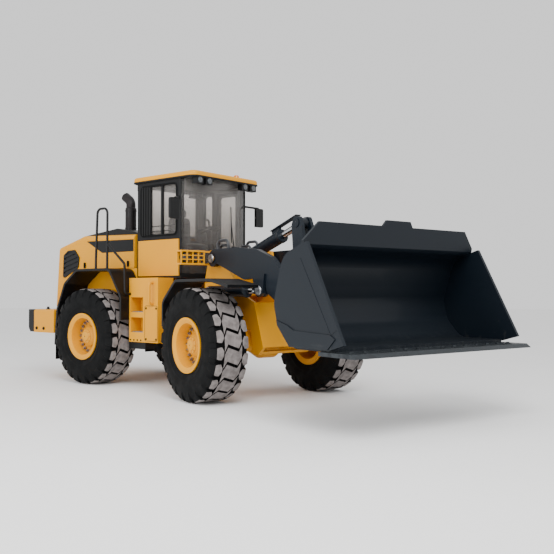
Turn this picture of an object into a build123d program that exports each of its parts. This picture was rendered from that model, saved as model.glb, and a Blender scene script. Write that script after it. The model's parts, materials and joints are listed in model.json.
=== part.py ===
from build123d import *
import os
from math import cos, hypot, radians, sin

# Articulated wheel loader on 23.5-25 tyres, parked with its front body steered to the right.
# Every piece is drawn straight ahead: X forward from the hitch axis, Y left, Z up from the floor, in mm.
# The last section turns the front body about the hitch and moves the origin under the plan's middle.

# Driving dimensions: wheels
WHEELBASE = 3300
TREAD = 2160
TYRE_DIAMETER = 1610
TYRE_WIDTH = 595
LUG_COUNT = 22
LUG_DEPTH = 42
LUG_LENGTH = 112
RIM_FLANGE_DIAMETER = 780
RIM_BARREL_DIAMETER = 660
HUB_DIAMETER = 360
SPINDLE_DIAMETER = 220
AXLE_TUBE_DIAMETER = 260
AXLE_HOUSING_DIAMETER = 480

# Driving dimensions: hitch and steering
STEER_AT_REST = -14.4
HITCH_PIN_DIAMETER = 130
HITCH_LUG_RADIUS = 165
HITCH_LUG_THICKNESS = 100
HITCH_PLATE_THICKNESS = 50
HITCH_LOW_Z = 770
HITCH_HIGH_Z = 1340
HITCH_CLEARANCE = 6
STEER_CYLINDER_Z = 1000
STEER_CYLINDER_DIAMETER = 110
STEER_ROD_DIAMETER = 56
STEER_REAR_PIN = (-330, 430)
STEER_FRONT_PIN = (860, 580)
STEER_BARREL_LENGTH = 740
STEER_ROD_LENGTH = 790

# Driving dimensions: rear body
RAIL_HALF_WIDTH = 380
RAIL_THICKNESS = 45
RAIL_TOP_Z = 1260
RAIL_LOW_Z = 760
RAIL_FRONT_X = -430
AXLE_PAD_Z = 1005
COUNTERWEIGHT_REAR_X = -3440
COUNTERWEIGHT_LENGTH = 850
COUNTERWEIGHT_FRONT_X = COUNTERWEIGHT_REAR_X + COUNTERWEIGHT_LENGTH
COUNTERWEIGHT_HALF_WIDTH = 1270
COUNTERWEIGHT_LOW_Z = 825
COUNTERWEIGHT_TOP_Z = 1240
BUMPER_LENGTH = 230
BUMPER_INNER_Y = 650
TOW_PIN_DIAMETER = 50
HOOD_HALF_WIDTH = 750
HOOD_SHEET = 30
HOOD_FRONT_X = -1030
HOOD_REAR_X = COUNTERWEIGHT_REAR_X + 110
HOOD_EDGE_RADIUS = 75
HOOD_HINGE_DIAMETER = 60
HOOD_PIN_DIAMETER = 30
HOOD_LOW_Z = 1290
HOOD_SIDE_Z = 1965
HOOD_FRONT_TOP_Z = 2537
HOOD_PEAK = (HOOD_REAR_X + 856, 2577)
HOOD_REAR_TOP = (HOOD_REAR_X + 90, 2385)
DECK_RISE = 90
GRILLE_THICKNESS = 28
GRILLE_SLATS = 12
VENT_LOUVRES = 6
EXHAUST_DIAMETER = 200
EXHAUST_PLACE = (-1790, -200)
EXHAUST_TOP_Z = 3320
FENDER_INNER_Y = 770
FENDER_OUTER_Y = COUNTERWEIGHT_HALF_WIDTH - 10
FENDER_BEND = 150
FENDER_SHEET = 40
REAR_FENDER_TOP_Z = 1948
FENDER_REACH = 915
FENDER_REAR_LOW_Z = 621
FLAP_LOW_Z = 365
STEP_BOX_INNER_Y = 760
STEP_BOX_OUTER_Y = 1090
STEP_BOX_FRONT_X = -40
STEP_BOX_LOW_Z = 744
STEP_BOX_TOP_Z = 1780
RAIL_TUBE_DIAMETER = 40
ENGINE_SIZE = (1400, 560, 800)

# Driving dimensions: cab
CAB_REAR_X = -930
CAB_FRONT_X = 120
CAB_NOSE_X = 330
CAB_HALF_WIDTH = 760
CAB_WALL = 80
CAB_FLOOR_THICKNESS = 70
CAB_ROOF_Z = 3390
ROOF_THICKNESS = 93
ROOF_HALF_WIDTH = 793
ROOF_REAR_X = -1054
ROOF_FRONT_X = 455
GLASS_THICKNESS = 12
WINDOW_LOW_Z = 2480
WINDOW_TOP_Z = CAB_ROOF_Z - 80
WINDOW_CORNER = 70
DOOR_REAR_X = -520
DOOR_FRONT_X = 60
DOOR_LOW_Z = REAR_FENDER_TOP_Z + 12
DOOR_TOP_Z = CAB_ROOF_Z - 60
DOOR_GAP = 6
DOOR_FRONT_GAP = 14
DOOR_HINGE_Z = (2050, CAB_ROOF_Z - 340)
DOOR_PIN_DIAMETER = 20

# Driving dimensions: front body and working linkage, pins as (X, Z) in the straight front frame
TOWER_INNER_Y = 400
TOWER_OUTER_Y = 445
BOOM_INNER_Y = 500
BOOM_OUTER_Y = 580
BOOM_PIN = (1080, 2060)
BUCKET_PIN = (3700, 1080)
TILT_BASE_PIN = (1130, 2075)
TILT_EYE_PIN = (2560, 2520)
BELLCRANK_PIN = (2630, 1900)
BELLCRANK_LOW_PIN = (2900, 1180)
BUCKET_LINK_PIN = (3680, 1290)
LIFT_BASE_PIN = (1000, 1560)
LIFT_EYE_PIN = (2339, 1569)
PIN_DIAMETER = 90
LIFT_CYLINDER_DIAMETER = 170
LIFT_ROD_DIAMETER = 90
LIFT_BARREL_LENGTH = 980
LIFT_ROD_LENGTH = 930
TILT_CYLINDER_DIAMETER = 190
TILT_ROD_DIAMETER = 100
TILT_BARREL_LENGTH = 1010
TILT_ROD_LENGTH = 960
FRONT_FENDER_TOP_Z = 1735
FRONT_FENDER_END_X = WHEELBASE / 2 + 930
HOSE_DIAMETER = 44
BUCKET_HALF_WIDTH = 1454
BUCKET_SIDE_PLATE = 40
BUCKET_SHEET = 35
BUCKET_BEND = 250
BUCKET_TOP = (4327, 2059)
BUCKET_FLOOR_Z = 934
BUCKET_LIP_X = 4830
EDGE_TIP_X = 5235
EDGE_THICKNESS = 45
SPILL_GUARD_TOP = (4418, 2400)
SPILL_GUARD_EDGE_Z = 2330

# Fits
RUNNING_GAP = 0.3
SEAT_GAP = 0.3

AXLE_Z = TYRE_DIAMETER / 2
FRONT_AXLE_X = WHEELBASE / 2
REAR_AXLE_X = -WHEELBASE / 2


def outline(points, y, corner=0):
    """An X-Z outline as a flat face at one Y, with sharp or rounded corners."""
    with BuildSketch(Plane.XZ.offset(-y)) as sketch:
        with BuildLine():
            if corner:
                FilletPolyline(*points, radius=corner, close=True)
            else:
                Polyline(*points, close=True)
        make_face()
    return sketch.sketch


def plate(points, y_from, y_to, mode=Mode.ADD, corner=0):
    """A plate with an X-Z outline, from one Y to a larger one."""
    face = outline(points, y_from, corner)
    extrude(face, amount=y_to - y_from, dir=(0, 1, 0), mode=mode)


def pane(x, y, z, corner, mode=Mode.ADD):
    """A plate across Y between two X and two Z values, with round corners."""
    with BuildSketch(Plane.XZ.offset(-y[0])) as sketch:
        with Locations(((x[0] + x[1]) / 2, (z[0] + z[1]) / 2)):
            RectangleRounded(x[1] - x[0], z[1] - z[0], corner)
    extrude(sketch.sketch, amount=y[1] - y[0], dir=(0, 1, 0), mode=mode)


def block(x, y, z, mode=Mode.ADD):
    """A block between two X, two Y and two Z values."""
    with Locations(((x[0] + x[1]) / 2, (y[0] + y[1]) / 2, (z[0] + z[1]) / 2)):
        Box(x[1] - x[0], y[1] - y[0], z[1] - z[0], mode=mode)


def bar_across(pin, y_from, y_to, diameter, mode=Mode.ADD):
    """A round bar along Y at an (X, Z) place."""
    with Locations(Location((pin[0], (y_from + y_to) / 2, pin[1]), (90, 0, 0))):
        Cylinder(diameter / 2, y_to - y_from, mode=mode)


def bar_up(place, z_from, z_to, diameter, mode=Mode.ADD):
    """A round bar along Z at an (X, Y) place."""
    with Locations((place[0], place[1], (z_from + z_to) / 2)):
        Cylinder(diameter / 2, z_to - z_from, mode=mode)


def bar_between(start, end, diameter, mode=Mode.ADD):
    """A round bar from one point to another."""
    axis = Vector(*end) - Vector(*start)
    with BuildSketch(Plane(origin=start, z_dir=axis)) as section:
        Circle(diameter / 2)
    extrude(section.sketch, amount=axis.length, mode=mode)


def along(start, end, distance):
    """The point at a distance from start on the way to end."""
    run = hypot(*[b - a for a, b in zip(start, end)])
    return tuple(a + (b - a) * distance / run for a, b in zip(start, end))


def at_y(point, y):
    """An (X, Z) point placed at one Y."""
    return (point[0], y, point[1])


def both_sides():
    """Repeats what was built on the left on the right."""
    mirror(about=Plane.XZ)


finished = {}


def keep(piece, name, steered=False):
    """Remembers a finished piece and whether it turns with the front body."""
    finished[name] = (piece, steered)


# Tyres and rims: a tyre is a ring of flats under two rows of lugs, a rim has a deep dish and a planetary hub
tyre_radius = TYRE_DIAMETER / 2
barrel_radius = RIM_BARREL_DIAMETER / 2
flange_radius = RIM_FLANGE_DIAMETER / 2
half_width = TYRE_WIDTH / 2
rim_half_width = half_width - 40


def many_sided(plane, radius, sides):
    """A regular many-sided face."""
    with BuildSketch(plane) as sketch:
        RegularPolygon(radius, sides)
    return sketch.sketch


def lugged_tyre(hub):
    """A flat-sided tyre ring with two staggered rows of lugs, built along the wheel's axle."""
    facets = 2 * LUG_COUNT
    root_radius = tyre_radius - LUG_DEPTH
    widest_radius = tyre_radius * 0.68
    tread_half_width = half_width - 52
    lug_root = 16
    carcass = [
        many_sided(hub.offset(-half_width), widest_radius, facets),
        many_sided(hub.offset(-tread_half_width), root_radius, facets),
        many_sided(hub.offset(tread_half_width), root_radius, facets),
        many_sided(hub.offset(half_width), widest_radius, facets),
    ]
    loft(carcass, ruled=True)
    for face in (1, -1):
        dish = [
            many_sided(hub.offset(face * half_width), widest_radius - 12, facets),
            many_sided(hub.offset(face * (rim_half_width - 2)), flange_radius + 8, facets),
        ]
        loft(dish, ruled=True, mode=Mode.SUBTRACT)
        lug_height = LUG_DEPTH + lug_root
        first_lug = 90 + (1 + face) * 90 / LUG_COUNT
        with BuildSketch(hub) as row:
            with PolarLocations(tyre_radius - lug_height / 2, LUG_COUNT, first_lug):
                Rectangle(lug_height, LUG_LENGTH)
        extrude(row.sketch, amount=face * tread_half_width)
    with BuildSketch(hub.offset(-half_width)) as bead:
        Circle(barrel_radius + SEAT_GAP)
    extrude(bead.sketch, amount=TYRE_WIDTH, mode=Mode.SUBTRACT)


def rim_section(plane):
    """Half section of the rim: flanges, barrel, dished disc and hub, open at the spindle."""
    sheet = 26
    disc_y = 60
    hub_face_y = 175
    with BuildSketch(plane) as sketch:
        with BuildLine():
            Polyline(
                (-rim_half_width, barrel_radius),
                (-rim_half_width, flange_radius),
                (-rim_half_width - 22, flange_radius),
                (-rim_half_width - 22, barrel_radius - sheet),
                (disc_y - sheet, barrel_radius - sheet),
                (disc_y - sheet, HUB_DIAMETER / 2),
                (-40, HUB_DIAMETER / 2 - 20),
                (-40, SPINDLE_DIAMETER / 2 + RUNNING_GAP),
                (hub_face_y - 40, SPINDLE_DIAMETER / 2 + RUNNING_GAP),
                (hub_face_y - 40, 0),
                (hub_face_y, 0),
                (hub_face_y, HUB_DIAMETER / 2 - 60),
                (hub_face_y - 45, HUB_DIAMETER / 2 - 10),
                (disc_y + 10, HUB_DIAMETER / 2),
                (disc_y, HUB_DIAMETER / 2 + 40),
                (disc_y + 30, barrel_radius - sheet - 12),
                (rim_half_width - 40, barrel_radius - sheet),
                (rim_half_width, barrel_radius - sheet + 6),
                (rim_half_width + 22, flange_radius - 34),
                (rim_half_width + 22, flange_radius),
                (rim_half_width, flange_radius),
                (rim_half_width, barrel_radius),
                close=True,
            )
        make_face()
    return sketch.sketch


def wheel_plane(x, side):
    """The plane of a wheel's half section, with its first axis pointing out of the machine."""
    return Plane(origin=(x, side * TREAD / 2, AXLE_Z), x_dir=(0, side, 0), z_dir=(side, 0, 0))


for end, axle_x in (("front", FRONT_AXLE_X), ("rear", REAR_AXLE_X)):
    for side_name, side in (("left", 1), ("right", -1)):
        spin = Axis((axle_x, 0, AXLE_Z), (0, 1, 0))
        with BuildPart() as tyre:
            lugged_tyre(Plane(origin=(axle_x, side * TREAD / 2, AXLE_Z), x_dir=(1, 0, 0), z_dir=(0, 1, 0)))
        keep(tyre, f"{end}_{side_name}_tyre", steered=end == "front")
        with BuildPart() as rim:
            revolve(rim_section(wheel_plane(axle_x, side)), axis=spin)
        keep(rim, f"{end}_{side_name}_rim", steered=end == "front")

# Axles: a cast housing with a differential, seat pads under the frame and a spindle in each hub
spindle_end = TREAD / 2 + 175 - 40 - 5
housing_end = TREAD / 2 - 40 - 8
for end, axle_x, seat_inner, seat_outer in (
    ("front", FRONT_AXLE_X, TOWER_INNER_Y - 30, TOWER_OUTER_Y + 30),
    ("rear", REAR_AXLE_X, RAIL_HALF_WIDTH - RAIL_THICKNESS - 30, RAIL_HALF_WIDTH + 30),
):
    with BuildPart() as axle:
        with BuildSketch(Plane(origin=(axle_x, 0, AXLE_Z), x_dir=(0, 1, 0), z_dir=(1, 0, 0))):
            with BuildLine():
                Polyline(
                    (0, 0),
                    (0, AXLE_HOUSING_DIAMETER / 2),
                    (120, AXLE_HOUSING_DIAMETER / 2),
                    (300, AXLE_TUBE_DIAMETER / 2),
                    (620, AXLE_TUBE_DIAMETER / 2),
                    (660, AXLE_TUBE_DIAMETER / 2 + 40),
                    (housing_end - 120, AXLE_TUBE_DIAMETER / 2 + 40),
                    (housing_end, SPINDLE_DIAMETER / 2 + 30),
                    (housing_end, SPINDLE_DIAMETER / 2),
                    (spindle_end, SPINDLE_DIAMETER / 2),
                    (spindle_end, 0),
                    close=True,
                )
            make_face()
        revolve(axis=Axis((axle_x, 0, AXLE_Z), (0, 1, 0)))
        block((axle_x - 140, axle_x + 140), (seat_inner, seat_outer), (AXLE_Z, AXLE_PAD_Z))
        both_sides()
    keep(axle, f"{end}_axle", steered=end == "front")


def hitch_lug(x_root, z_middle, thickness):
    """A lug that reaches from its bulkhead to a round nose on the hitch axis."""
    with BuildSketch(Plane.XY.offset(z_middle - thickness / 2)) as sketch:
        Circle(HITCH_LUG_RADIUS)
        with Locations((x_root / 2, 0)):
            Rectangle(abs(x_root), 2 * HITCH_LUG_RADIUS)
    extrude(sketch.sketch, amount=thickness)


# Rear frame: two rails, a front bulkhead with the hitch forks and their pins, and cross plates
hitch_fork_offset = HITCH_LUG_THICKNESS / 2 + HITCH_CLEARANCE + HITCH_PLATE_THICKNESS / 2
rail_back_x = COUNTERWEIGHT_FRONT_X
with BuildPart() as rear_frame:
    plate(
        [
            (RAIL_FRONT_X, 640),
            (RAIL_FRONT_X, STEP_BOX_TOP_Z),
            (RAIL_FRONT_X - 380, STEP_BOX_TOP_Z),
            (RAIL_FRONT_X - 480, RAIL_TOP_Z),
            (rail_back_x, RAIL_TOP_Z),
            (rail_back_x, COUNTERWEIGHT_LOW_Z + 5),
            (REAR_AXLE_X - 420, COUNTERWEIGHT_LOW_Z + 5),
            (REAR_AXLE_X - 300, AXLE_PAD_Z),
            (REAR_AXLE_X + 300, AXLE_PAD_Z),
            (REAR_AXLE_X + 460, RAIL_LOW_Z),
            (RAIL_FRONT_X - 160, 640),
        ],
        RAIL_HALF_WIDTH - RAIL_THICKNESS,
        RAIL_HALF_WIDTH,
    )
    both_sides()
    between_rails = (-RAIL_HALF_WIDTH, RAIL_HALF_WIDTH)
    block((RAIL_FRONT_X - 40, RAIL_FRONT_X), between_rails, (640, 1480))
    block((rail_back_x, rail_back_x + 40), between_rails, (COUNTERWEIGHT_LOW_Z + 5, RAIL_TOP_Z))
    for hitch_z in (HITCH_LOW_Z, HITCH_HIGH_Z):
        hitch_lug(RAIL_FRONT_X, hitch_z - hitch_fork_offset, HITCH_PLATE_THICKNESS)
        hitch_lug(RAIL_FRONT_X, hitch_z + hitch_fork_offset, HITCH_PLATE_THICKNESS)
        reach = hitch_fork_offset + HITCH_PLATE_THICKNESS / 2 + 15
        bar_up((0, 0), hitch_z - reach, hitch_z + reach, HITCH_PIN_DIAMETER)
    for side in (1, -1):
        for lug_z in (STEER_CYLINDER_Z - 75, STEER_CYLINDER_Z + 75):
            with BuildSketch(Plane.XY.offset(lug_z - 15)) as lug:
                with Locations((STEER_REAR_PIN[0], side * STEER_REAR_PIN[1])):
                    Circle(60)
                with Locations(((STEER_REAR_PIN[0] + RAIL_FRONT_X) / 2, side * (STEER_REAR_PIN[1] - 20))):
                    Rectangle(STEER_REAR_PIN[0] - RAIL_FRONT_X, 80)
                with Locations((RAIL_FRONT_X - 60, side * (RAIL_HALF_WIDTH + 20))):
                    Rectangle(120, 120)
            extrude(lug.sketch, amount=30)
        bar_up(
            (STEER_REAR_PIN[0], side * STEER_REAR_PIN[1]),
            STEER_CYLINDER_Z - 90,
            STEER_CYLINDER_Z + 90,
            STEER_ROD_DIAMETER,
        )
keep(rear_frame, "rear_frame")

# Counterweight: a cast block stepped at its rear corners for dark bumpers, with a fork for a tow pin
hood_hinge = (HOOD_REAR_X, HOOD_LOW_Z)
hinge_y = (480, 600)
knuckle_y = (hinge_y[1] + 6, hinge_y[1] + 66)
bumper_front_x = COUNTERWEIGHT_REAR_X + BUMPER_LENGTH
with BuildPart() as counterweight:
    with BuildSketch(Plane.XY.offset(COUNTERWEIGHT_LOW_Z)):
        with BuildLine():
            Polyline(
                (COUNTERWEIGHT_FRONT_X, -COUNTERWEIGHT_HALF_WIDTH),
                (COUNTERWEIGHT_FRONT_X, COUNTERWEIGHT_HALF_WIDTH),
                (bumper_front_x, COUNTERWEIGHT_HALF_WIDTH),
                (bumper_front_x, BUMPER_INNER_Y),
                (COUNTERWEIGHT_REAR_X, BUMPER_INNER_Y),
                (COUNTERWEIGHT_REAR_X, -BUMPER_INNER_Y),
                (bumper_front_x, -BUMPER_INNER_Y),
                (bumper_front_x, -COUNTERWEIGHT_HALF_WIDTH),
                close=True,
            )
        make_face()
    extrude(amount=COUNTERWEIGHT_TOP_Z - COUNTERWEIGHT_LOW_Z)
    chamfer(counterweight.faces().sort_by(Axis.Z)[-1].edges(), 22)
    block(
        (HOOD_REAR_X - 25, HOOD_REAR_X + HOOD_SHEET),
        hinge_y,
        (COUNTERWEIGHT_TOP_Z - 5, HOOD_LOW_Z - SEAT_GAP),
    )
    bar_across(hood_hinge, *hinge_y, HOOD_HINGE_DIAMETER)
    bar_across(hood_hinge, hinge_y[0], knuckle_y[1], HOOD_PIN_DIAMETER)
    both_sides()
keep(counterweight, "counterweight")

tow_z = 960
with BuildPart() as tow_hitch:
    for low in (tow_z - 95, tow_z + 45):
        block((COUNTERWEIGHT_REAR_X - 130, COUNTERWEIGHT_REAR_X), (-90, 90), (low, low + 50))
    block((COUNTERWEIGHT_REAR_X - 40, COUNTERWEIGHT_REAR_X), (-120, 120), (tow_z - 120, tow_z + 120))
    bar_up((COUNTERWEIGHT_REAR_X - 85, 0), tow_z - 130, tow_z + 130, TOW_PIN_DIAMETER, Mode.SUBTRACT)
keep(tow_hitch, "tow_hitch")

with BuildPart() as rear_bumpers:
    plate(
        [
            (bumper_front_x, COUNTERWEIGHT_LOW_Z + 6),
            (bumper_front_x, COUNTERWEIGHT_TOP_Z - 4),
            (COUNTERWEIGHT_REAR_X - 10, COUNTERWEIGHT_TOP_Z - 4),
            (COUNTERWEIGHT_REAR_X - 10, COUNTERWEIGHT_LOW_Z + 150),
            (COUNTERWEIGHT_REAR_X + 110, COUNTERWEIGHT_LOW_Z + 6),
        ],
        BUMPER_INNER_Y,
        COUNTERWEIGHT_HALF_WIDTH,
    )
    rear_corner = rear_bumpers.edges().filter_by(Axis.Z).group_by(Axis.X)[0].sort_by(Axis.Y)[-1]
    fillet(rear_corner, 90)
    both_sides()
keep(rear_bumpers, "rear_bumpers")

# Engine: one plain block on four feet on the rails
engine_low_z = RAIL_TOP_Z - 180
engine_front_x = HOOD_FRONT_X - 90
with BuildPart() as engine_block:
    block(
        (engine_front_x - ENGINE_SIZE[0], engine_front_x),
        (-ENGINE_SIZE[1] / 2, ENGINE_SIZE[1] / 2),
        (engine_low_z, engine_low_z + ENGINE_SIZE[2]),
    )
    for foot_x in (engine_front_x - 0.2 * ENGINE_SIZE[0], engine_front_x - 0.9 * ENGINE_SIZE[0]):
        for side in (1, -1):
            block(
                (foot_x - 70, foot_x + 70),
                sorted((side * (ENGINE_SIZE[1] / 2 - 10), side * (RAIL_HALF_WIDTH - 5))),
                (RAIL_TOP_Z, RAIL_TOP_Z + 60),
            )
keep(engine_block, "engine_block")

# Hood: a sheet shell over the engine that tilts back on its rear lower edge
hood_profile = [
    (HOOD_REAR_X, HOOD_LOW_Z),
    HOOD_REAR_TOP,
    HOOD_PEAK,
    (HOOD_FRONT_X, HOOD_FRONT_TOP_Z),
    (HOOD_FRONT_X, HOOD_SIDE_Z),
    (COUNTERWEIGHT_FRONT_X, HOOD_SIDE_Z),
    (COUNTERWEIGHT_FRONT_X, HOOD_LOW_Z),
]
hood_inside = [
    (HOOD_REAR_X + HOOD_SHEET, HOOD_LOW_Z - 10),
    (HOOD_REAR_TOP[0] + HOOD_SHEET, HOOD_REAR_TOP[1] - HOOD_SHEET / 2),
    (HOOD_PEAK[0], HOOD_PEAK[1] - HOOD_SHEET),
    (HOOD_FRONT_X - HOOD_SHEET, HOOD_FRONT_TOP_Z - HOOD_SHEET),
    (HOOD_FRONT_X - HOOD_SHEET, HOOD_LOW_Z - 10),
]
with BuildPart() as hood:
    plate(hood_profile, -HOOD_HALF_WIDTH, HOOD_HALF_WIDTH)
    upper_edges = hood.edges().filter_by_position(Axis.Z, HOOD_SIDE_Z - 200, HOOD_PEAK[1] + 1)
    side_edges = upper_edges
    for square_axis in (Axis.X, Axis.Y, Axis.Z):
        side_edges = side_edges.filter_by(square_axis, reverse=True)
    rear_top_edge = upper_edges.filter_by(Axis.Y).sort_by(Axis.X)[0]
    fillet([*side_edges, rear_top_edge], HOOD_EDGE_RADIUS)
    plate(hood_inside, -HOOD_HALF_WIDTH + HOOD_SHEET, HOOD_HALF_WIDTH - HOOD_SHEET, Mode.SUBTRACT)
    for side in (1, -1):
        slot_y = sorted((side * (hinge_y[0] - 6), side * (hinge_y[1] + 6)))
        bar_across(hood_hinge, *slot_y, HOOD_HINGE_DIAMETER + 12, Mode.SUBTRACT)
        eye_y = sorted((side * knuckle_y[0], side * knuckle_y[1]))
        bar_across(hood_hinge, *eye_y, HOOD_HINGE_DIAMETER)
        bar_across(hood_hinge, *eye_y, HOOD_PIN_DIAMETER + 2 * RUNNING_GAP, Mode.SUBTRACT)
keep(hood, "hood")

deck_half_width = HOOD_HALF_WIDTH - HOOD_EDGE_RADIUS
deck_profile = [
    HOOD_PEAK,
    (HOOD_PEAK[0] + 900, HOOD_PEAK[1] + DECK_RISE),
    (HOOD_FRONT_X, HOOD_FRONT_TOP_Z + 30),
    (HOOD_FRONT_X, HOOD_FRONT_TOP_Z),
]
with BuildPart() as hood_deck:
    plate(deck_profile, -deck_half_width, deck_half_width)
keep(hood_deck, "hood_deck")

muffler_top_z = EXHAUST_TOP_Z - 230
elbow_diameter = EXHAUST_DIAMETER - 30
with BuildPart() as exhaust_stack:
    bar_up(EXHAUST_PLACE, HOOD_FRONT_TOP_Z, muffler_top_z, EXHAUST_DIAMETER)
    chamfer(exhaust_stack.edges().sort_by(Axis.Z)[-1], 14)
    with BuildLine() as elbow:
        FilletPolyline(
            (*EXHAUST_PLACE, muffler_top_z - 20),
            (*EXHAUST_PLACE, muffler_top_z + 110),
            (EXHAUST_PLACE[0] - 150, EXHAUST_PLACE[1], EXHAUST_TOP_Z - 20),
            radius=120,
        )
    with BuildSketch(Plane.XY.offset(muffler_top_z - 20)) as pipe:
        with Locations(EXHAUST_PLACE):
            Circle(elbow_diameter / 2)
            Circle(elbow_diameter / 2 - 10, mode=Mode.SUBTRACT)
    sweep(pipe.sketch, path=elbow.wire())
    plate(deck_profile, -deck_half_width, deck_half_width, Mode.SUBTRACT)
    plate(hood_profile, -HOOD_HALF_WIDTH, HOOD_HALF_WIDTH, Mode.SUBTRACT)
keep(exhaust_stack, "exhaust_stack")


def on_hood_rear(z):
    """X of the hood's rear face at a height."""
    share = (z - HOOD_LOW_Z) / (HOOD_REAR_TOP[1] - HOOD_LOW_Z)
    return HOOD_REAR_X + share * (HOOD_REAR_TOP[0] - HOOD_REAR_X)


grille_low_z, grille_top_z = HOOD_LOW_Z + 90, HOOD_REAR_TOP[1] - 110
grille_half_width = HOOD_HALF_WIDTH - 110
with BuildPart() as rear_grille:
    plate(
        [
            (on_hood_rear(grille_low_z), grille_low_z),
            (on_hood_rear(grille_top_z), grille_top_z),
            (on_hood_rear(grille_top_z) - GRILLE_THICKNESS, grille_top_z),
            (on_hood_rear(grille_low_z) - GRILLE_THICKNESS, grille_low_z),
        ],
        -grille_half_width,
        grille_half_width,
    )
    slat_pitch = (grille_top_z - grille_low_z - 60) / GRILLE_SLATS
    for row in range(GRILLE_SLATS):
        slot_z = grille_low_z + 40 + row * slat_pitch
        for side in (1, -1):
            block(
                (HOOD_REAR_X - 60, HOOD_REAR_TOP[0]),
                sorted((side * 25, side * (grille_half_width - 40))),
                (slot_z, slot_z + slat_pitch - 22),
                Mode.SUBTRACT,
            )
keep(rear_grille, "rear_grille")

vent_middle = (HOOD_REAR_X + 520, 2090)
vent_profile = [
    (vent_middle[0] - 251, vent_middle[1] - 293),
    (vent_middle[0] + 214, vent_middle[1] - 96),
    (vent_middle[0] + 250, vent_middle[1] + 90),
    (vent_middle[0] + 110, vent_middle[1] + 240),
    (vent_middle[0] - 98, vent_middle[1] + 228),
    (vent_middle[0] - 230, vent_middle[1] + 150),
]
with BuildPart() as hood_vents:
    plate(vent_profile, HOOD_HALF_WIDTH, HOOD_HALF_WIDTH + 18, corner=45)
    with BuildSketch(Plane.XZ.offset(-HOOD_HALF_WIDTH - 5)) as louvres:
        with BuildLine():
            FilletPolyline(*vent_profile, radius=45, close=True)
        make_face()
        offset(amount=-28, mode=Mode.REPLACE)
        louvre_pitch = 500 / VENT_LOUVRES
        with Locations(vent_middle):
            with GridLocations(0, louvre_pitch, 1, VENT_LOUVRES + 1):
                Rectangle(900, louvre_pitch * 0.55, rotation=14, mode=Mode.SUBTRACT)
    extrude(louvres.sketch, amount=20, dir=(0, 1, 0), mode=Mode.SUBTRACT)
    both_sides()
keep(hood_vents, "hood_vents")


def fender_band(path, y_from, y_to):
    """A bent fender sheet along an X-Z path, between two Y values."""
    with BuildSketch(Plane.XZ.offset(-y_from)) as band:
        with BuildLine():
            FilletPolyline(*path, radius=FENDER_BEND)
        trace(line_width=FENDER_SHEET)
    extrude(band.sketch, amount=y_to - y_from, dir=(0, 1, 0))


# Fenders: bent sheets over the tyres, the rear pair with rubber flaps behind
half_sheet = FENDER_SHEET / 2
step_box_rear_x = REAR_AXLE_X + FENDER_REACH
rear_fender_top = REAR_FENDER_TOP_Z - half_sheet
rear_fender_path = [
    (step_box_rear_x - half_sheet, 1100),
    (step_box_rear_x - half_sheet, 1470),
    (REAR_AXLE_X + 585, rear_fender_top),
    (REAR_AXLE_X - 300, rear_fender_top),
    (REAR_AXLE_X - 640, 1700),
    (REAR_AXLE_X - 860, 1250),
    (REAR_AXLE_X - FENDER_REACH, FENDER_REAR_LOW_Z),
]
with BuildPart() as rear_fenders:
    fender_band(rear_fender_path, FENDER_INNER_Y, FENDER_OUTER_Y)
    both_sides()
keep(rear_fenders, "rear_fenders")

# Side panels: sheets that close the body's sides under the hood, hung from the fenders' inner edges
panel_y = (FENDER_INNER_Y - 45, FENDER_INNER_Y - 15)
panel_top = HOOD_SIDE_Z - 10
with BuildPart() as side_panels:
    plate(
        [
            (COUNTERWEIGHT_FRONT_X + 15, COUNTERWEIGHT_TOP_Z + 25),
            (COUNTERWEIGHT_FRONT_X + 15, panel_top),
            (CAB_REAR_X - 15, panel_top),
            (CAB_REAR_X - 15, STEP_BOX_TOP_Z - 10),
            (step_box_rear_x, STEP_BOX_TOP_Z - 10),
            (step_box_rear_x, RAIL_LOW_Z + 40),
            (REAR_AXLE_X + 560, RAIL_LOW_Z + 40),
            (REAR_AXLE_X + 430, COUNTERWEIGHT_TOP_Z + 25),
        ],
        *panel_y,
    )
    block(
        (REAR_AXLE_X - 250, REAR_AXLE_X + 480),
        (panel_y[1], FENDER_INNER_Y),
        (REAR_FENDER_TOP_Z - FENDER_SHEET, REAR_FENDER_TOP_Z),
    )
    both_sides()
keep(side_panels, "side_panels")

flap_x = REAR_AXLE_X - FENDER_REACH
with BuildPart() as mud_flaps:
    flap_y = (FENDER_INNER_Y + 40, FENDER_OUTER_Y - 20)
    block((flap_x - 9, flap_x + 9), flap_y, (FLAP_LOW_Z, FENDER_REAR_LOW_Z - 1.1))
    both_sides()
keep(mud_flaps, "mud_flaps")

front_fender_top = FRONT_FENDER_TOP_Z - half_sheet
front_leg_x = FRONT_AXLE_X - FENDER_REACH + half_sheet
front_fender_path = [
    (front_leg_x, 1036),
    (front_leg_x, 1400),
    (FRONT_AXLE_X - 500, front_fender_top),
    (FRONT_AXLE_X + 450, front_fender_top),
    (FRONT_FENDER_END_X, front_fender_top - 90),
]
with BuildPart() as front_fenders:
    fender_band(front_fender_path, FENDER_INNER_Y, FENDER_OUTER_Y)
    both_sides()
keep(front_fenders, "front_fenders", steered=True)

# Step boxes: tank and battery boxes beside the frame with two recessed steps and a hung lower step
step_x = (step_box_rear_x + 40, step_box_rear_x + 340)
handle_x = STEP_BOX_FRONT_X - 120


def bent_tube(points, radius, diameter):
    """A round tube along straight runs joined by arcs of one radius."""
    with BuildLine() as route:
        FilletPolyline(*points, radius=radius)
    with BuildSketch(Plane(origin=route.wire() @ 0, z_dir=route.wire() % 0)) as section:
        Circle(diameter / 2)
    sweep(section.sketch, path=route.wire())


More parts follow.
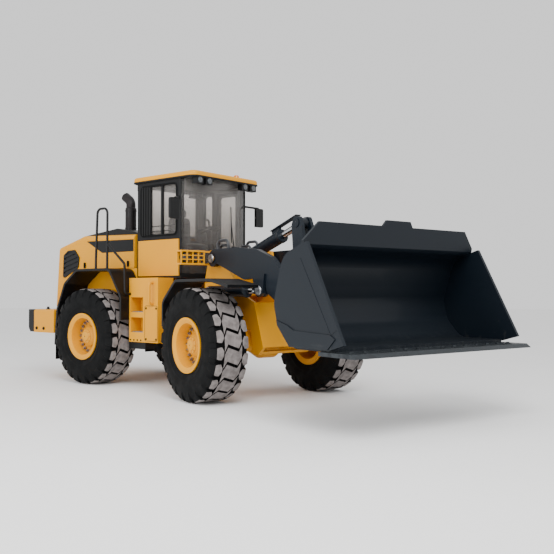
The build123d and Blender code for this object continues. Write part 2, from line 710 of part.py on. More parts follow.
with BuildPart() as step_boxes:
    block(
        (step_box_rear_x, STEP_BOX_FRONT_X),
        (STEP_BOX_INNER_Y, STEP_BOX_OUTER_Y),
        (STEP_BOX_LOW_Z, STEP_BOX_TOP_Z),
    )
    for step_z in (901, 1226):
        block(step_x, (STEP_BOX_OUTER_Y - 210, STEP_BOX_OUTER_Y), (step_z, step_z + 240), Mode.SUBTRACT)
    block((step_box_rear_x + 200, STEP_BOX_FRONT_X - 100), (RAIL_HALF_WIDTH, STEP_BOX_INNER_Y), (1110, 1190))
    bent_tube(
        [
            (handle_x, STEP_BOX_OUTER_Y - 10, 1360),
            (handle_x, STEP_BOX_OUTER_Y + 75, 1360),
            (handle_x, STEP_BOX_OUTER_Y + 75, 1700),
            (handle_x, STEP_BOX_OUTER_Y - 10, 1700),
        ],
        45,
        RAIL_TUBE_DIAMETER,
    )
    both_sides()
keep(step_boxes, "step_boxes")

with BuildPart() as lower_steps:
    block(
        (step_box_rear_x, step_box_rear_x + 400),
        (STEP_BOX_OUTER_Y - 200, STEP_BOX_OUTER_Y),
        (STEP_BOX_LOW_Z - 110, STEP_BOX_LOW_Z),
    )
    both_sides()
keep(lower_steps, "lower_steps")

rail_y = FENDER_OUTER_Y - 60
with BuildPart() as handrails:
    bent_tube(
        [
            (-1480, rail_y, REAR_FENDER_TOP_Z),
            (-1480, rail_y, REAR_FENDER_TOP_Z + 120),
            (-1440, rail_y, 2950),
            (-1175, rail_y, 2950),
            (-1175, rail_y, REAR_FENDER_TOP_Z),
        ],
        90,
        RAIL_TUBE_DIAMETER,
    )
    both_sides()
    # The lower rail is on the right only, because the door swings back over the left fender
    bent_tube(
        [
            (step_box_rear_x + 25, -STEP_BOX_OUTER_Y, 1520),
            (step_box_rear_x + 25, -rail_y, 1520),
            (step_box_rear_x + 10, -rail_y, 2008),
            (-1175, -rail_y, 2360),
        ],
        60,
        RAIL_TUBE_DIAMETER,
    )
keep(handrails, "handrails")

# Cab: floor, side walls, rear wall and roof panels, glass, a left door, seat and controls
cab_floor_top = STEP_BOX_TOP_Z + CAB_FLOOR_THICKNESS
inner_y = CAB_HALF_WIDTH - CAB_WALL
door_hinge = (DOOR_REAR_X + 3, CAB_HALF_WIDTH + 22)
window_z = (WINDOW_LOW_Z, WINDOW_TOP_Z)
side_window_x = (CAB_REAR_X + 90, CAB_FRONT_X - 90)
quarter_window_x = (CAB_REAR_X + 90, DOOR_REAR_X - 70)


def cab_plan(grow):
    """Plan of the cab with its bowed nose, grown or shrunk at the nose."""
    with BuildSketch(Plane.XY.offset(STEP_BOX_TOP_Z)) as plan:
        with BuildLine():
            Polyline(
                (CAB_FRONT_X, CAB_HALF_WIDTH),
                (CAB_REAR_X, CAB_HALF_WIDTH),
                (CAB_REAR_X, -CAB_HALF_WIDTH),
                (CAB_FRONT_X, -CAB_HALF_WIDTH),
            )
            ThreePointArc(
                (CAB_FRONT_X, -CAB_HALF_WIDTH),
                (CAB_NOSE_X + grow, 0),
                (CAB_FRONT_X, CAB_HALF_WIDTH),
            )
        make_face()
    return plan.sketch


with BuildPart() as cab_floor:
    extrude(cab_plan(0), amount=CAB_FLOOR_THICKNESS)
keep(cab_floor, "cab_floor")

with BuildPart() as cab_right_wall:
    block((CAB_REAR_X, CAB_FRONT_X), (-CAB_HALF_WIDTH, -inner_y), (cab_floor_top, CAB_ROOF_Z))
    pane(side_window_x, (-CAB_HALF_WIDTH, -inner_y), window_z, WINDOW_CORNER, Mode.SUBTRACT)
keep(cab_right_wall, "cab_right_wall")

with BuildPart() as cab_left_wall:
    block((CAB_REAR_X, CAB_FRONT_X), (inner_y, CAB_HALF_WIDTH), (cab_floor_top, CAB_ROOF_Z))
    block((DOOR_REAR_X, DOOR_FRONT_X), (inner_y, CAB_HALF_WIDTH), (DOOR_LOW_Z, DOOR_TOP_Z), Mode.SUBTRACT)
    pane(quarter_window_x, (inner_y, CAB_HALF_WIDTH), window_z, WINDOW_CORNER, Mode.SUBTRACT)
    for low in DOOR_HINGE_Z:
        block((door_hinge[0] - 60, door_hinge[0]), (CAB_HALF_WIDTH, CAB_HALF_WIDTH + 40), (low, low + 50))
        bar_up(door_hinge, low, low + 50, 36)
        bar_up(door_hinge, low, low + 105, DOOR_PIN_DIAMETER)
keep(cab_left_wall, "cab_left_wall")

with BuildPart() as cab_rear_wall:
    block((CAB_REAR_X, CAB_REAR_X + CAB_WALL), (-inner_y, inner_y), (cab_floor_top, CAB_ROOF_Z))
    block((CAB_REAR_X, CAB_REAR_X + CAB_WALL), (-inner_y + 90, inner_y - 90), window_z, Mode.SUBTRACT)
keep(cab_rear_wall, "cab_rear_wall")

with BuildPart() as cab_panels:
    block(
        (CAB_REAR_X + 50, CAB_FRONT_X - 20),
        (-CAB_HALF_WIDTH - 25, -CAB_HALF_WIDTH),
        (STEP_BOX_TOP_Z + 35, WINDOW_LOW_Z - 75),
    )
keep(cab_panels, "cab_panels")

with BuildPart() as cab_roof:
    block(
        (ROOF_REAR_X, ROOF_FRONT_X),
        (-ROOF_HALF_WIDTH, ROOF_HALF_WIDTH),
        (CAB_ROOF_Z, CAB_ROOF_Z + ROOF_THICKNESS),
    )
    fillet(cab_roof.edges().filter_by(Axis.Z), 110)
    fillet(cab_roof.faces().sort_by(Axis.Z)[-1].edges(), 45)
keep(cab_roof, "cab_roof")

pane_y = (CAB_HALF_WIDTH - 30 - GLASS_THICKNESS, CAB_HALF_WIDTH - 30)
with BuildPart() as cab_glass:
    pane(side_window_x, (-pane_y[1], -pane_y[0]), window_z, WINDOW_CORNER)
    pane(quarter_window_x, pane_y, window_z, WINDOW_CORNER)
    block((CAB_REAR_X + 30, CAB_REAR_X + 30 + GLASS_THICKNESS), (-inner_y + 90, inner_y - 90), window_z)
    with BuildSketch(Plane.XY.offset(cab_floor_top)):
        with BuildLine():
            ThreePointArc((CAB_FRONT_X, -CAB_HALF_WIDTH), (CAB_NOSE_X, 0), (CAB_FRONT_X, CAB_HALF_WIDTH))
            Line((CAB_FRONT_X, CAB_HALF_WIDTH), (CAB_FRONT_X, inner_y))
            ThreePointArc((CAB_FRONT_X, inner_y), (CAB_NOSE_X - GLASS_THICKNESS, 0), (CAB_FRONT_X, -inner_y))
            Line((CAB_FRONT_X, -inner_y), (CAB_FRONT_X, -CAB_HALF_WIDTH))
        make_face()
    extrude(amount=CAB_ROOF_Z - cab_floor_top)
keep(cab_glass, "cab_glass")

door_x = (DOOR_REAR_X + DOOR_GAP, DOOR_FRONT_X - DOOR_FRONT_GAP)
door_z = (DOOR_LOW_Z + DOOR_GAP, DOOR_TOP_Z - DOOR_GAP)
door_window_x = (door_x[0] + 60, door_x[1] - 60)
door_window_z = (door_z[0] + 270, door_z[1] - 60)
with BuildPart() as cab_door:
    block(door_x, (inner_y, CAB_HALF_WIDTH), door_z)
    pane(door_window_x, (inner_y, CAB_HALF_WIDTH), door_window_z, WINDOW_CORNER, Mode.SUBTRACT)
    for low in DOOR_HINGE_Z:
        knuckle_z = (low + 50 + SEAT_GAP, low + 100)
        block((door_hinge[0], door_hinge[0] + 60), (CAB_HALF_WIDTH, CAB_HALF_WIDTH + 40), knuckle_z)
        bar_up(door_hinge, *knuckle_z, 36)
        bar_up(door_hinge, *knuckle_z, DOOR_PIN_DIAMETER + 2 * RUNNING_GAP, Mode.SUBTRACT)
keep(cab_door, "cab_door")
with BuildPart() as door_glass:
    pane(door_window_x, pane_y, door_window_z, WINDOW_CORNER)
keep(door_glass, "door_glass")

with BuildPart() as seat:
    block((-620, -280), (-190, 190), (cab_floor_top, 2250))
    block((-700, -190), (-250, 250), (2250, 2380))
    block((-780, -650), (-240, 240), (2380, 3000))
keep(seat, "seat")

with BuildPart() as controls:
    with Locations(Location((-10, 0, 2590), (0, -14, 0))):
        Cylinder(205, 28)
        Cylinder(172, 28, mode=Mode.SUBTRACT)
        Box(360, 46, 18)
    block((90, 210), (-70, 70), (cab_floor_top, cab_floor_top + 60))
    bar_between((150, 0, cab_floor_top + 40), (-10, 0, 2590), 90)
    block((-600, -160), (-560, -330), (cab_floor_top, 2480))
keep(controls, "controls")

with BuildPart() as roof_lamps:
    for lamp_y in (430, 640):
        block((340, 440), (lamp_y - 75, lamp_y + 75), (CAB_ROOF_Z - 115, CAB_ROOF_Z))
    block((ROOF_REAR_X + 20, ROOF_REAR_X + 110), (520, 680), (CAB_ROOF_Z - 115, CAB_ROOF_Z))
    both_sides()
keep(roof_lamps, "roof_lamps")

mirror_z = CAB_ROOF_Z - 360
with BuildPart() as mirrors:
    block((60, 115), (CAB_HALF_WIDTH, CAB_HALF_WIDTH + 30), (mirror_z, mirror_z + 60))
    bar_between((90, CAB_HALF_WIDTH + 20, mirror_z + 30), (250, CAB_HALF_WIDTH + 240, mirror_z), 36)
    block((220, 265), (CAB_HALF_WIDTH + 160, CAB_HALF_WIDTH + 350), (mirror_z - 330, mirror_z))
    fillet(mirrors.edges().filter_by(Axis.X).group_by(Axis.Y)[-1], 30)
    both_sides()
keep(mirrors, "mirrors")

# Front frame: two tower plates, bulkhead with hitch lugs, nose plates, cylinder pins and lamp arms
web = (-TOWER_INNER_Y, TOWER_INNER_Y)
front_bulkhead_x = 790
tower_rear_x = front_bulkhead_x + 30
neck_half_width = 230
neck_rear_x = 200
nose_x = FRONT_AXLE_X + 580
with BuildPart() as front_frame:
    plate(
        [
            (tower_rear_x, 660),
            (tower_rear_x, 1180),
            (600, 1300),
            (640, 1760),
            (790, 2200),
            (BOOM_PIN[0] + 160, 2200),
            (1330, 1900),
            (FRONT_AXLE_X - 30, 1560),
            (FRONT_AXLE_X + 350, 1400),
            (nose_x, 770),
            (nose_x - 110, 665),
            (FRONT_AXLE_X + 330, 665),
            (FRONT_AXLE_X + 270, AXLE_PAD_Z),
            (FRONT_AXLE_X - 270, AXLE_PAD_Z),
            (FRONT_AXLE_X - 330, 660),
        ],
        TOWER_INNER_Y,
        TOWER_OUTER_Y,
    )
    bar_across(BOOM_PIN, TOWER_INNER_Y - 30, BOOM_OUTER_Y + 25, PIN_DIAMETER)
    bar_across(LIFT_BASE_PIN, TOWER_INNER_Y - 20, BOOM_OUTER_Y + 40, PIN_DIAMETER)
    block((front_leg_x - 30, front_leg_x + 50), (TOWER_OUTER_Y, FENDER_INNER_Y), (1250, 1390))
    both_sides()
    block((front_bulkhead_x, tower_rear_x + 40), web, (660, 1480))
    block((neck_rear_x, front_bulkhead_x), (-neck_half_width, neck_half_width), (660, 1450))
    plate([(nose_x - 270, 1400), (nose_x - 230, 1400), (nose_x, 770), (nose_x - 40, 770)], *web)
    belly_x = FRONT_AXLE_X + 330
    plate([(belly_x, 665), (nose_x - 110, 665), (nose_x - 70, 705), (belly_x, 705)], *web)
    plate([(900, 1500), (1060, 1500), (1060, 1960), (900, 1960)], *web)
    for hitch_z in (HITCH_LOW_Z, HITCH_HIGH_Z):
        hitch_lug(neck_rear_x, hitch_z, HITCH_LUG_THICKNESS)
        bar_up((0, 0), hitch_z - 60, hitch_z + 60, HITCH_PIN_DIAMETER + 2 * RUNNING_GAP, Mode.SUBTRACT)
    for low in (-145, 105):
        plate([(960, 1960), (1060, 1960), (1210, 2030), (1190, 2150), (1080, 2150)], low, low + 40)
    bar_across(TILT_BASE_PIN, -155, 155, PIN_DIAMETER)
    for side in (1, -1):
        for lug_z in (STEER_CYLINDER_Z - 75, STEER_CYLINDER_Z + 75):
            with BuildSketch(Plane.XY.offset(lug_z - 15)) as lug:
                with Locations((STEER_FRONT_PIN[0], side * STEER_FRONT_PIN[1])):
                    Circle(60)
                with Locations((STEER_FRONT_PIN[0], side * (STEER_FRONT_PIN[1] + TOWER_INNER_Y) / 2)):
                    Rectangle(120, STEER_FRONT_PIN[1] - TOWER_INNER_Y)
            extrude(lug.sketch, amount=30)
keep(front_frame, "front_frame", steered=True)

lamp_y = (640, 1050)
lamp_z = (1965, 2185)
lamp_back_x = 830
guard_x = (935, 955)
lamp_middle = (lamp_y[0] + lamp_y[1]) / 2, (lamp_z[0] + lamp_z[1]) / 2
with BuildPart() as lamp_guards:
    for low in (lamp_z[0], lamp_z[1] - 24):
        block((800, 870), (TOWER_OUTER_Y, lamp_y[1]), (low, low + 24))
        block((800, guard_x[1]), lamp_y, (low, low + 24))
    block((800, lamp_back_x), lamp_y, lamp_z)
    block(guard_x, lamp_y, lamp_z)
    with Locations((guard_x[0] + 10, *lamp_middle)):
        with GridLocations(0, 98, 1, 4):
            for row in (-1, 0, 1):
                with Locations((0, 0, row * 62)):
                    Box(30, 80, 46, mode=Mode.SUBTRACT)
    both_sides()
keep(lamp_guards, "lamp_guards", steered=True)
with BuildPart() as head_lamps:
    for offset_y in (-95, 95):
        bar_between(
            (lamp_back_x, lamp_middle[0] + offset_y, lamp_middle[1]),
            (lamp_back_x + 85, lamp_middle[0] + offset_y, lamp_middle[1]),
            150,
        )
    both_sides()
keep(head_lamps, "head_lamps", steered=True)

# Hoses: stiff arches from the tower's cross plate over its top to the inner faces of its plates
with BuildPart() as hoses:
    for hose_y, arch_x, arch_z, end_x, end_z in ((200, 690, 2290, 970, 2120), (275, 740, 2360, 1050, 2150)):
        bent_tube(
            [
                (900, hose_y, 1850),
                (arch_x, hose_y, 1850),
                (arch_x, hose_y, arch_z),
                (end_x, hose_y, arch_z),
                (end_x, hose_y, end_z),
                (end_x, TOWER_INNER_Y, end_z),
            ],
            85,
            HOSE_DIAMETER,
        )
    both_sides()
keep(hoses, "hoses", steered=True)

# Boom: two deep arms joined by a cross tube that carries the bellcrank's lugs
bore = PIN_DIAMETER + 2 * RUNNING_GAP
boom_profile = [
    (940, 2100),
    (1080, 2200),
    (1742, 2201),
    (2253, 2147),
    (2611, 2022),
    (2861, 1813),
    (3770, 1165),
    (3785, 1010),
    (3640, 985),
    (2657, 1454),
    (2500, 1545),
    (2470, 1745),
    (2180, 1745),
    (1940, 1725),
    (1188, 1987),
    (960, 1980),
]
cross_tube = (2330, 1800)
lug_y = (125, 170)
with BuildPart() as boom:
    plate(boom_profile, BOOM_INNER_Y, BOOM_OUTER_Y, corner=30)
    bar_across(BUCKET_PIN, BOOM_INNER_Y, BOOM_OUTER_Y, 200)
    bar_across(BOOM_PIN, BOOM_INNER_Y, BOOM_OUTER_Y, 250)
    for y_from in (BOOM_INNER_Y - 25, BOOM_OUTER_Y - 15):
        plate([(2190, 1800), (2480, 1800), (2440, 1530), (2339, 1480), (2240, 1530)], y_from, y_from + 40)
    bar_across(BOOM_PIN, BOOM_INNER_Y - 1, BOOM_OUTER_Y + 1, bore, Mode.SUBTRACT)
    bar_across(BUCKET_PIN, BOOM_INNER_Y - 1, BOOM_OUTER_Y + 1, bore, Mode.SUBTRACT)
    plate([(2310, 1730), (2660, 1790), (2740, 1900), (2660, 2000), (2310, 1890)], *lug_y)
    both_sides()
    bar_across(cross_tube, -BOOM_INNER_Y, BOOM_INNER_Y, 220)
    bar_across(BELLCRANK_PIN, -lug_y[1], lug_y[1], PIN_DIAMETER)
keep(boom, "boom", steered=True)

# Bellcrank: twin plates on one hub, forked at both ends
fork_y = (60, 112)
bellcrank_profile = [
    (2450, 2500),
    (2500, 2610),
    (2620, 2610),
    (2680, 2480),
    (2760, 1950),
    (3000, 1190),
    (2930, 1080),
    (2830, 1100),
    (2500, 1880),
]
with BuildPart() as bellcrank:
    plate(bellcrank_profile, *fork_y, corner=45)
    for pin in (TILT_EYE_PIN, BELLCRANK_LOW_PIN):
        bar_across(pin, fork_y[1], fork_y[1] + 12, 130)
    both_sides()
    bar_across(BELLCRANK_PIN, -fork_y[0], fork_y[0], 200)
    bar_across(BELLCRANK_PIN, -fork_y[1] - 1, fork_y[1] + 1, bore, Mode.SUBTRACT)
keep(bellcrank, "bellcrank", steered=True)

link_half = 50
with BuildPart() as tilt_link:
    bar_across(BUCKET_LINK_PIN, -link_half, link_half, 170)
    bar_across(BELLCRANK_LOW_PIN, -link_half, link_half, 170)
    bar_between(at_y(BELLCRANK_LOW_PIN, 0), at_y(BUCKET_LINK_PIN, 0), 96)
    bar_across(BUCKET_LINK_PIN, -link_half - 1, link_half + 1, bore, Mode.SUBTRACT)
    bar_across(BELLCRANK_LOW_PIN, -link_half - 1, link_half + 1, bore, Mode.SUBTRACT)
keep(tilt_link, "tilt_link", steered=True)

# Bucket: a rolled shell between two side plates, a bolted cutting edge and a spill guard
shell_outer = [
    BUCKET_TOP,
    (4045, 1963),
    (3931, 1626),
    (3869, 1421),
    (3941, 1172),
    (4175, BUCKET_FLOOR_Z),
    (BUCKET_LIP_X, BUCKET_FLOOR_Z),
]
ear_profile = [(3600, 1090), (3640, 985), (3760, 975), (4120, 985), (3955, 1160), (3922, 1250), (3700, 1190)]
link_ear_profile = [(3600, 1240), (3935, 1190), (3879, 1421), (3910, 1520), (3630, 1370)]
shell_width = BUCKET_HALF_WIDTH - BUCKET_SIDE_PLATE
with BuildPart() as bucket_shell:
    with BuildSketch(Plane.XZ.offset(shell_width)) as shell:
        with BuildLine():
            FilletPolyline(*shell_outer, radius=BUCKET_BEND)
        trace(line_width=BUCKET_SHEET)
    extrude(shell.sketch, amount=2 * shell_width, dir=(0, 1, 0))
    for y_from in (BOOM_INNER_Y - 50, BOOM_OUTER_Y + 10):
        plate(ear_profile, y_from, y_from + 40)
        plate(ear_profile, -y_from - 40, -y_from)
    for side in (1, -1):
        pin_y = sorted((side * (BOOM_INNER_Y - 60), side * (BOOM_OUTER_Y + 60)))
        bar_across(BUCKET_PIN, *pin_y, PIN_DIAMETER)
    for y_from in (-110, 60):
        plate(link_ear_profile, y_from, y_from + 50)
    bar_across(BUCKET_LINK_PIN, -120, 120, PIN_DIAMETER)
keep(bucket_shell, "bucket_shell", steered=True)

side_front = [
    (BUCKET_LIP_X, BUCKET_FLOOR_Z),
    (EDGE_TIP_X - 164, BUCKET_FLOOR_Z + 66),
    (BUCKET_TOP[0] + 141, BUCKET_TOP[1] + 38),
    BUCKET_TOP,
]
with BuildPart() as bucket_sides:
    with BuildSketch(Plane.XZ.offset(-shell_width)) as side_plate:
        with BuildLine():
            FilletPolyline(*shell_outer, radius=BUCKET_BEND)
            Polyline(*side_front)
        make_face()
    extrude(side_plate.sketch, amount=BUCKET_SIDE_PLATE, dir=(0, 1, 0))
    both_sides()
keep(bucket_sides, "bucket_sides", steered=True)

edge_low = BUCKET_FLOOR_Z - BUCKET_SHEET / 2 - EDGE_THICKNESS
with BuildPart() as cutting_edge:
    plate(
        [
            (BUCKET_LIP_X - 160, edge_low),
            (BUCKET_LIP_X - 160, edge_low + EDGE_THICKNESS),
            (EDGE_TIP_X - 60, edge_low + EDGE_THICKNESS),
            (EDGE_TIP_X, edge_low),
        ],
        -BUCKET_HALF_WIDTH,
        BUCKET_HALF_WIDTH,
    )
keep(cutting_edge, "cutting_edge", steered=True)

with BuildPart() as spill_guard:
    plate(
        [
            (BUCKET_TOP[0] - 5.3, BUCKET_TOP[1] + 16.7),
            (BUCKET_TOP[0] + 5.9, BUCKET_TOP[1] - 16.4),
            (BUCKET_TOP[0] + 42, BUCKET_TOP[1] + 16),
            (SPILL_GUARD_TOP[0] + 15, SPILL_GUARD_TOP[1]),
            (SPILL_GUARD_TOP[0] - 15, SPILL_GUARD_TOP[1]),
        ],
        -shell_width,
        shell_width,
    )
    with BuildSketch(Plane.YZ.offset(BUCKET_TOP[0] - 60)) as front_view:
        with BuildLine():
            Polyline(
                (-shell_width, BUCKET_TOP[1] - 60),
                (shell_width, BUCKET_TOP[1] - 60),
                (shell_width, BUCKET_TOP[1] + 60),
                (shell_width - 190, SPILL_GUARD_EDGE_Z),
                (250, SPILL_GUARD_EDGE_Z),
                (200, SPILL_GUARD_TOP[1]),
                (-200, SPILL_GUARD_TOP[1]),
                (-250, SPILL_GUARD_EDGE_Z),
                (-shell_width + 190, SPILL_GUARD_EDGE_Z),
                (-shell_width, BUCKET_TOP[1] + 60),
                close=True,
            )
        make_face()
    extrude(front_view.sketch, amount=240, mode=Mode.INTERSECT)
keep(spill_guard, "spill_guard", steered=True)


def cylinder_barrel(base, end, y, length, diameter, rod, eye_width):
    """A barrel from its base eye, bored for the rod from the gland end."""
    start, stop = at_y(base, y), at_y(along(base, end, length), y)
    bar_between(at_y(along(base, end, 60), y), stop, diameter)
    bar_across(base, y - eye_width / 2, y + eye_width / 2, PIN_DIAMETER + 80)
    bar_between(at_y(along(base, end, 130), y), stop, rod + 2 * RUNNING_GAP, Mode.SUBTRACT)
    bar_across(base, y - eye_width, y + eye_width, bore, Mode.SUBTRACT)


def cylinder_rod(base, end, y, length, diameter, eye_width, neck):
    """A rod that narrows to a neck and ends in an eye at its far pin."""
    run = hypot(end[0] - base[0], end[1] - base[1])
    bar_between(at_y(along(base, end, run - length), y), at_y(along(base, end, run - neck), y), diameter)
    bar_between(at_y(along(base, end, run - neck - 10), y), at_y(along(base, end, run - 40), y), eye_width)
    bar_across(end, y - eye_width / 2, y + eye_width / 2, PIN_DIAMETER + 60)
    bar_across(end, y - eye_width, y + eye_width, bore, Mode.SUBTRACT)


lift_y = (BOOM_INNER_Y + BOOM_OUTER_Y) / 2
with BuildPart() as lift_barrels:
    cylinder_barrel(
        LIFT_BASE_PIN,
        LIFT_EYE_PIN,
        lift_y,
        LIFT_BARREL_LENGTH,
        LIFT_CYLINDER_DIAMETER,
        LIFT_ROD_DIAMETER,
        90,
    )
    both_sides()
keep(lift_barrels, "lift_barrels", steered=True)
with BuildPart() as lift_rods:
    cylinder_rod(LIFT_BASE_PIN, LIFT_EYE_PIN, lift_y, LIFT_ROD_LENGTH, LIFT_ROD_DIAMETER, 42, 190)
    both_sides()
keep(lift_rods, "lift_rods", steered=True)
with BuildPart() as tilt_barrel:
    cylinder_barrel(
        TILT_BASE_PIN,
        TILT_EYE_PIN,
        0,
        TILT_BARREL_LENGTH,
        TILT_CYLINDER_DIAMETER,
        TILT_ROD_DIAMETER,
        160,
    )
    tilt_run = (TILT_EYE_PIN[0] - TILT_BASE_PIN[0], TILT_EYE_PIN[1] - TILT_BASE_PIN[1])
    rise = along((0, 0), (-tilt_run[1], tilt_run[0]), 1)
    near = along(TILT_BASE_PIN, TILT_EYE_PIN, 790)
    for reach, low, high, half_width in ((1440, 142, 154, 46), (980, 70, 148, 20)):
        far = along(TILT_BASE_PIN, TILT_EYE_PIN, reach)
        plate(
            [
                (near[0] + low * rise[0], near[1] + low * rise[1]),
                (near[0] + high * rise[0], near[1] + high * rise[1]),
                (far[0] + high * rise[0], far[1] + high * rise[1]),
                (far[0] + low * rise[0], far[1] + low * rise[1]),
            ],
            -half_width,
            half_width,
        )
keep(tilt_barrel, "tilt_barrel", steered=True)
with BuildPart() as tilt_rod:
    cylinder_rod(TILT_BASE_PIN, TILT_EYE_PIN, 0, TILT_ROD_LENGTH, TILT_ROD_DIAMETER, 96, 120)
keep(tilt_rod, "tilt_rod", steered=True)

# Steering cylinders at rest: the rear pins stay, the front pins turn with the front body
turn = radians(STEER_AT_REST)
for side_name, side in (("left", 1), ("right", -1)):
    rear_pin = (STEER_REAR_PIN[0], side * STEER_REAR_PIN[1], STEER_CYLINDER_Z)
    front_x, front_y = STEER_FRONT_PIN[0], side * STEER_FRONT_PIN[1]
    front_pin = (
        front_x * cos(turn) - front_y * sin(turn),
        front_x * sin(turn) + front_y * cos(turn),
        STEER_CYLINDER_Z,
    )
    run = hypot(front_pin[0] - rear_pin[0], front_pin[1] - rear_pin[1])
    with BuildPart() as barrel:
        gland = along(rear_pin, front_pin, STEER_BARREL_LENGTH)
        bar_between(along(rear_pin, front_pin, 45), gland, STEER_CYLINDER_DIAMETER)
        bar_up(rear_pin[:2], STEER_CYLINDER_Z - 40, STEER_CYLINDER_Z + 40, 110)
        bore = STEER_ROD_DIAMETER + 2 * RUNNING_GAP
        bar_between(along(rear_pin, front_pin, 80), gland, bore, Mode.SUBTRACT)
        bar_up(rear_pin[:2], STEER_CYLINDER_Z - 60, STEER_CYLINDER_Z + 60, bore, Mode.SUBTRACT)
    keep(barrel, f"steer_barrel_{side_name}")
    with BuildPart() as rod:
        rod_start = along(rear_pin, front_pin, run - STEER_ROD_LENGTH)
        bar_between(rod_start, along(rear_pin, front_pin, run - 30), STEER_ROD_DIAMETER)
        bar_up(front_pin[:2], STEER_CYLINDER_Z - 40, STEER_CYLINDER_Z + 40, 100)
    keep(rod, f"steer_rod_{side_name}")

# Park: turn the front body about the hitch, then put the origin under the middle of the plan
edge_corner_x = EDGE_TIP_X * cos(turn) + BUCKET_HALF_WIDTH * abs(sin(turn))
edge_corner_y = -EDGE_TIP_X * abs(sin(turn)) - BUCKET_HALF_WIDTH * cos(turn)
plan_x = (edge_corner_x + COUNTERWEIGHT_REAR_X - 130) / 2
plan_y = (edge_corner_y + TREAD / 2 + TYRE_WIDTH / 2) / 2
park_shift = (-plan_x, -plan_y, 0)

os.makedirs("parts", exist_ok=True)
for name, (piece, steered) in finished.items():
    solid = piece.part
    if steered:
        solid = solid.rotate(Axis.Z, STEER_AT_REST)
    solid = solid.translate(park_shift)
    solid.label = name
    export_step(solid, f"parts/{name}.step")
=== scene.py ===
import json
from math import atan2, cos, exp, pi, radians, sin, sqrt

import bmesh
import bpy
from mathutils import Matrix, Vector


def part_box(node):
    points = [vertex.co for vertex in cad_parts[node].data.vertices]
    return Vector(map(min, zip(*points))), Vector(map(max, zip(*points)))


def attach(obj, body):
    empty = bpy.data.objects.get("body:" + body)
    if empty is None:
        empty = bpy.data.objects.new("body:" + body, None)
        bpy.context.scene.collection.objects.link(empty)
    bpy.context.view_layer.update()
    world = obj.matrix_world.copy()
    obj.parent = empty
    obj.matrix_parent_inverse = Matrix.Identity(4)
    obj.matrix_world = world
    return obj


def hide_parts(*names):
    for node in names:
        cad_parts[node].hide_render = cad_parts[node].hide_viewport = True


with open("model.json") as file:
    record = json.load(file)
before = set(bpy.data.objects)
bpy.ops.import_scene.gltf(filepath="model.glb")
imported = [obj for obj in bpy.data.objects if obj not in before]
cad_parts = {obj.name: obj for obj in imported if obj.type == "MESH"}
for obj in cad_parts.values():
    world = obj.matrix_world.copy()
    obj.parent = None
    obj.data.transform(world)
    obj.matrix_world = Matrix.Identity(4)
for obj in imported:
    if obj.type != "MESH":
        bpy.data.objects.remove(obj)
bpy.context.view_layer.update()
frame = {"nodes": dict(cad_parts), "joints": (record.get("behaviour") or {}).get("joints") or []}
nodes = frame["nodes"]
joints = {joint["name"]: joint for joint in frame["joints"]}

# Parking place: the rear body stands square to the floor and the front body is turned about the hitch pin.
# Places on either body are given in metres from the hitch axis: forward, left and up from the floor.
hitch = Vector(joints["steer"]["pos_m"])
hitch.z = 0
cross_axis = -Vector(joints["boom_lift"]["axis"])
rear_body = Matrix.Translation(hitch)
front_body = rear_body @ Matrix.Rotation(atan2(-cross_axis.x, cross_axis.y), 4, "Z")

# Camera: held at a standing person's height off the right front corner, with a short telephoto lens.
# Its place is in metres from the hitch axis; film width and focal length are in millimetres.
camera_place, camera_yaw, camera_pitch = Vector((8.728, -8.821, 1.538)), radians(129.36), radians(1.24)
film_width, focal_length, far_clip = 36, 47.6, 200
camera = bpy.data.objects.new("camera", bpy.data.cameras.new("camera"))
bpy.context.scene.collection.objects.link(camera)
bpy.context.scene.camera = camera
level = cos(camera_pitch)
view_line = Vector((cos(camera_yaw) * level, sin(camera_yaw) * level, sin(camera_pitch)))
camera.location = hitch + camera_place
camera.rotation_euler = view_line.to_track_quat("-Z", "Y").to_euler()
camera.data.sensor_width = film_width
camera.data.lens = focal_length
camera.data.clip_end = far_clip

# Studio: a broad pale floor, soft light from a big overhead panel on the bucket's side and a weaker one
# behind the camera's left shoulder, so the yellow sides stay bright and the bucket's inside falls dark.


def linear(code):
    """An sRGB hex colour as linear red, green, blue and alpha."""
    parts = [int(code[i : i + 2], 16) / 255 for i in (1, 3, 5)]
    return [p / 12.92 if p <= 0.04045 else ((p + 0.055) / 1.055) ** 2.4 for p in parts] + [1.0]


def add(tree, kind, settings=None, links=None):
    """Adds a node, sets its properties or unlinked inputs, and links other nodes' outputs into it."""
    node = tree.nodes.new(kind)
    for key, value in (settings or {}).items():
        if hasattr(node, key):
            setattr(node, key, value)
        else:
            node.inputs[key].default_value = value
    for key, socket in (links or {}).items():
        tree.links.new(socket, node.inputs[key])
    return node


def surface(name, **sockets):
    """A new material with its shader's own sockets set, and its node tree."""
    material = bpy.data.materials.new(name)
    material.use_nodes = True
    shader = material.node_tree.nodes["Principled BSDF"]
    for key, value in sockets.items():
        shader.inputs[key.replace("_", " ")].default_value = value
    return material, material.node_tree, shader


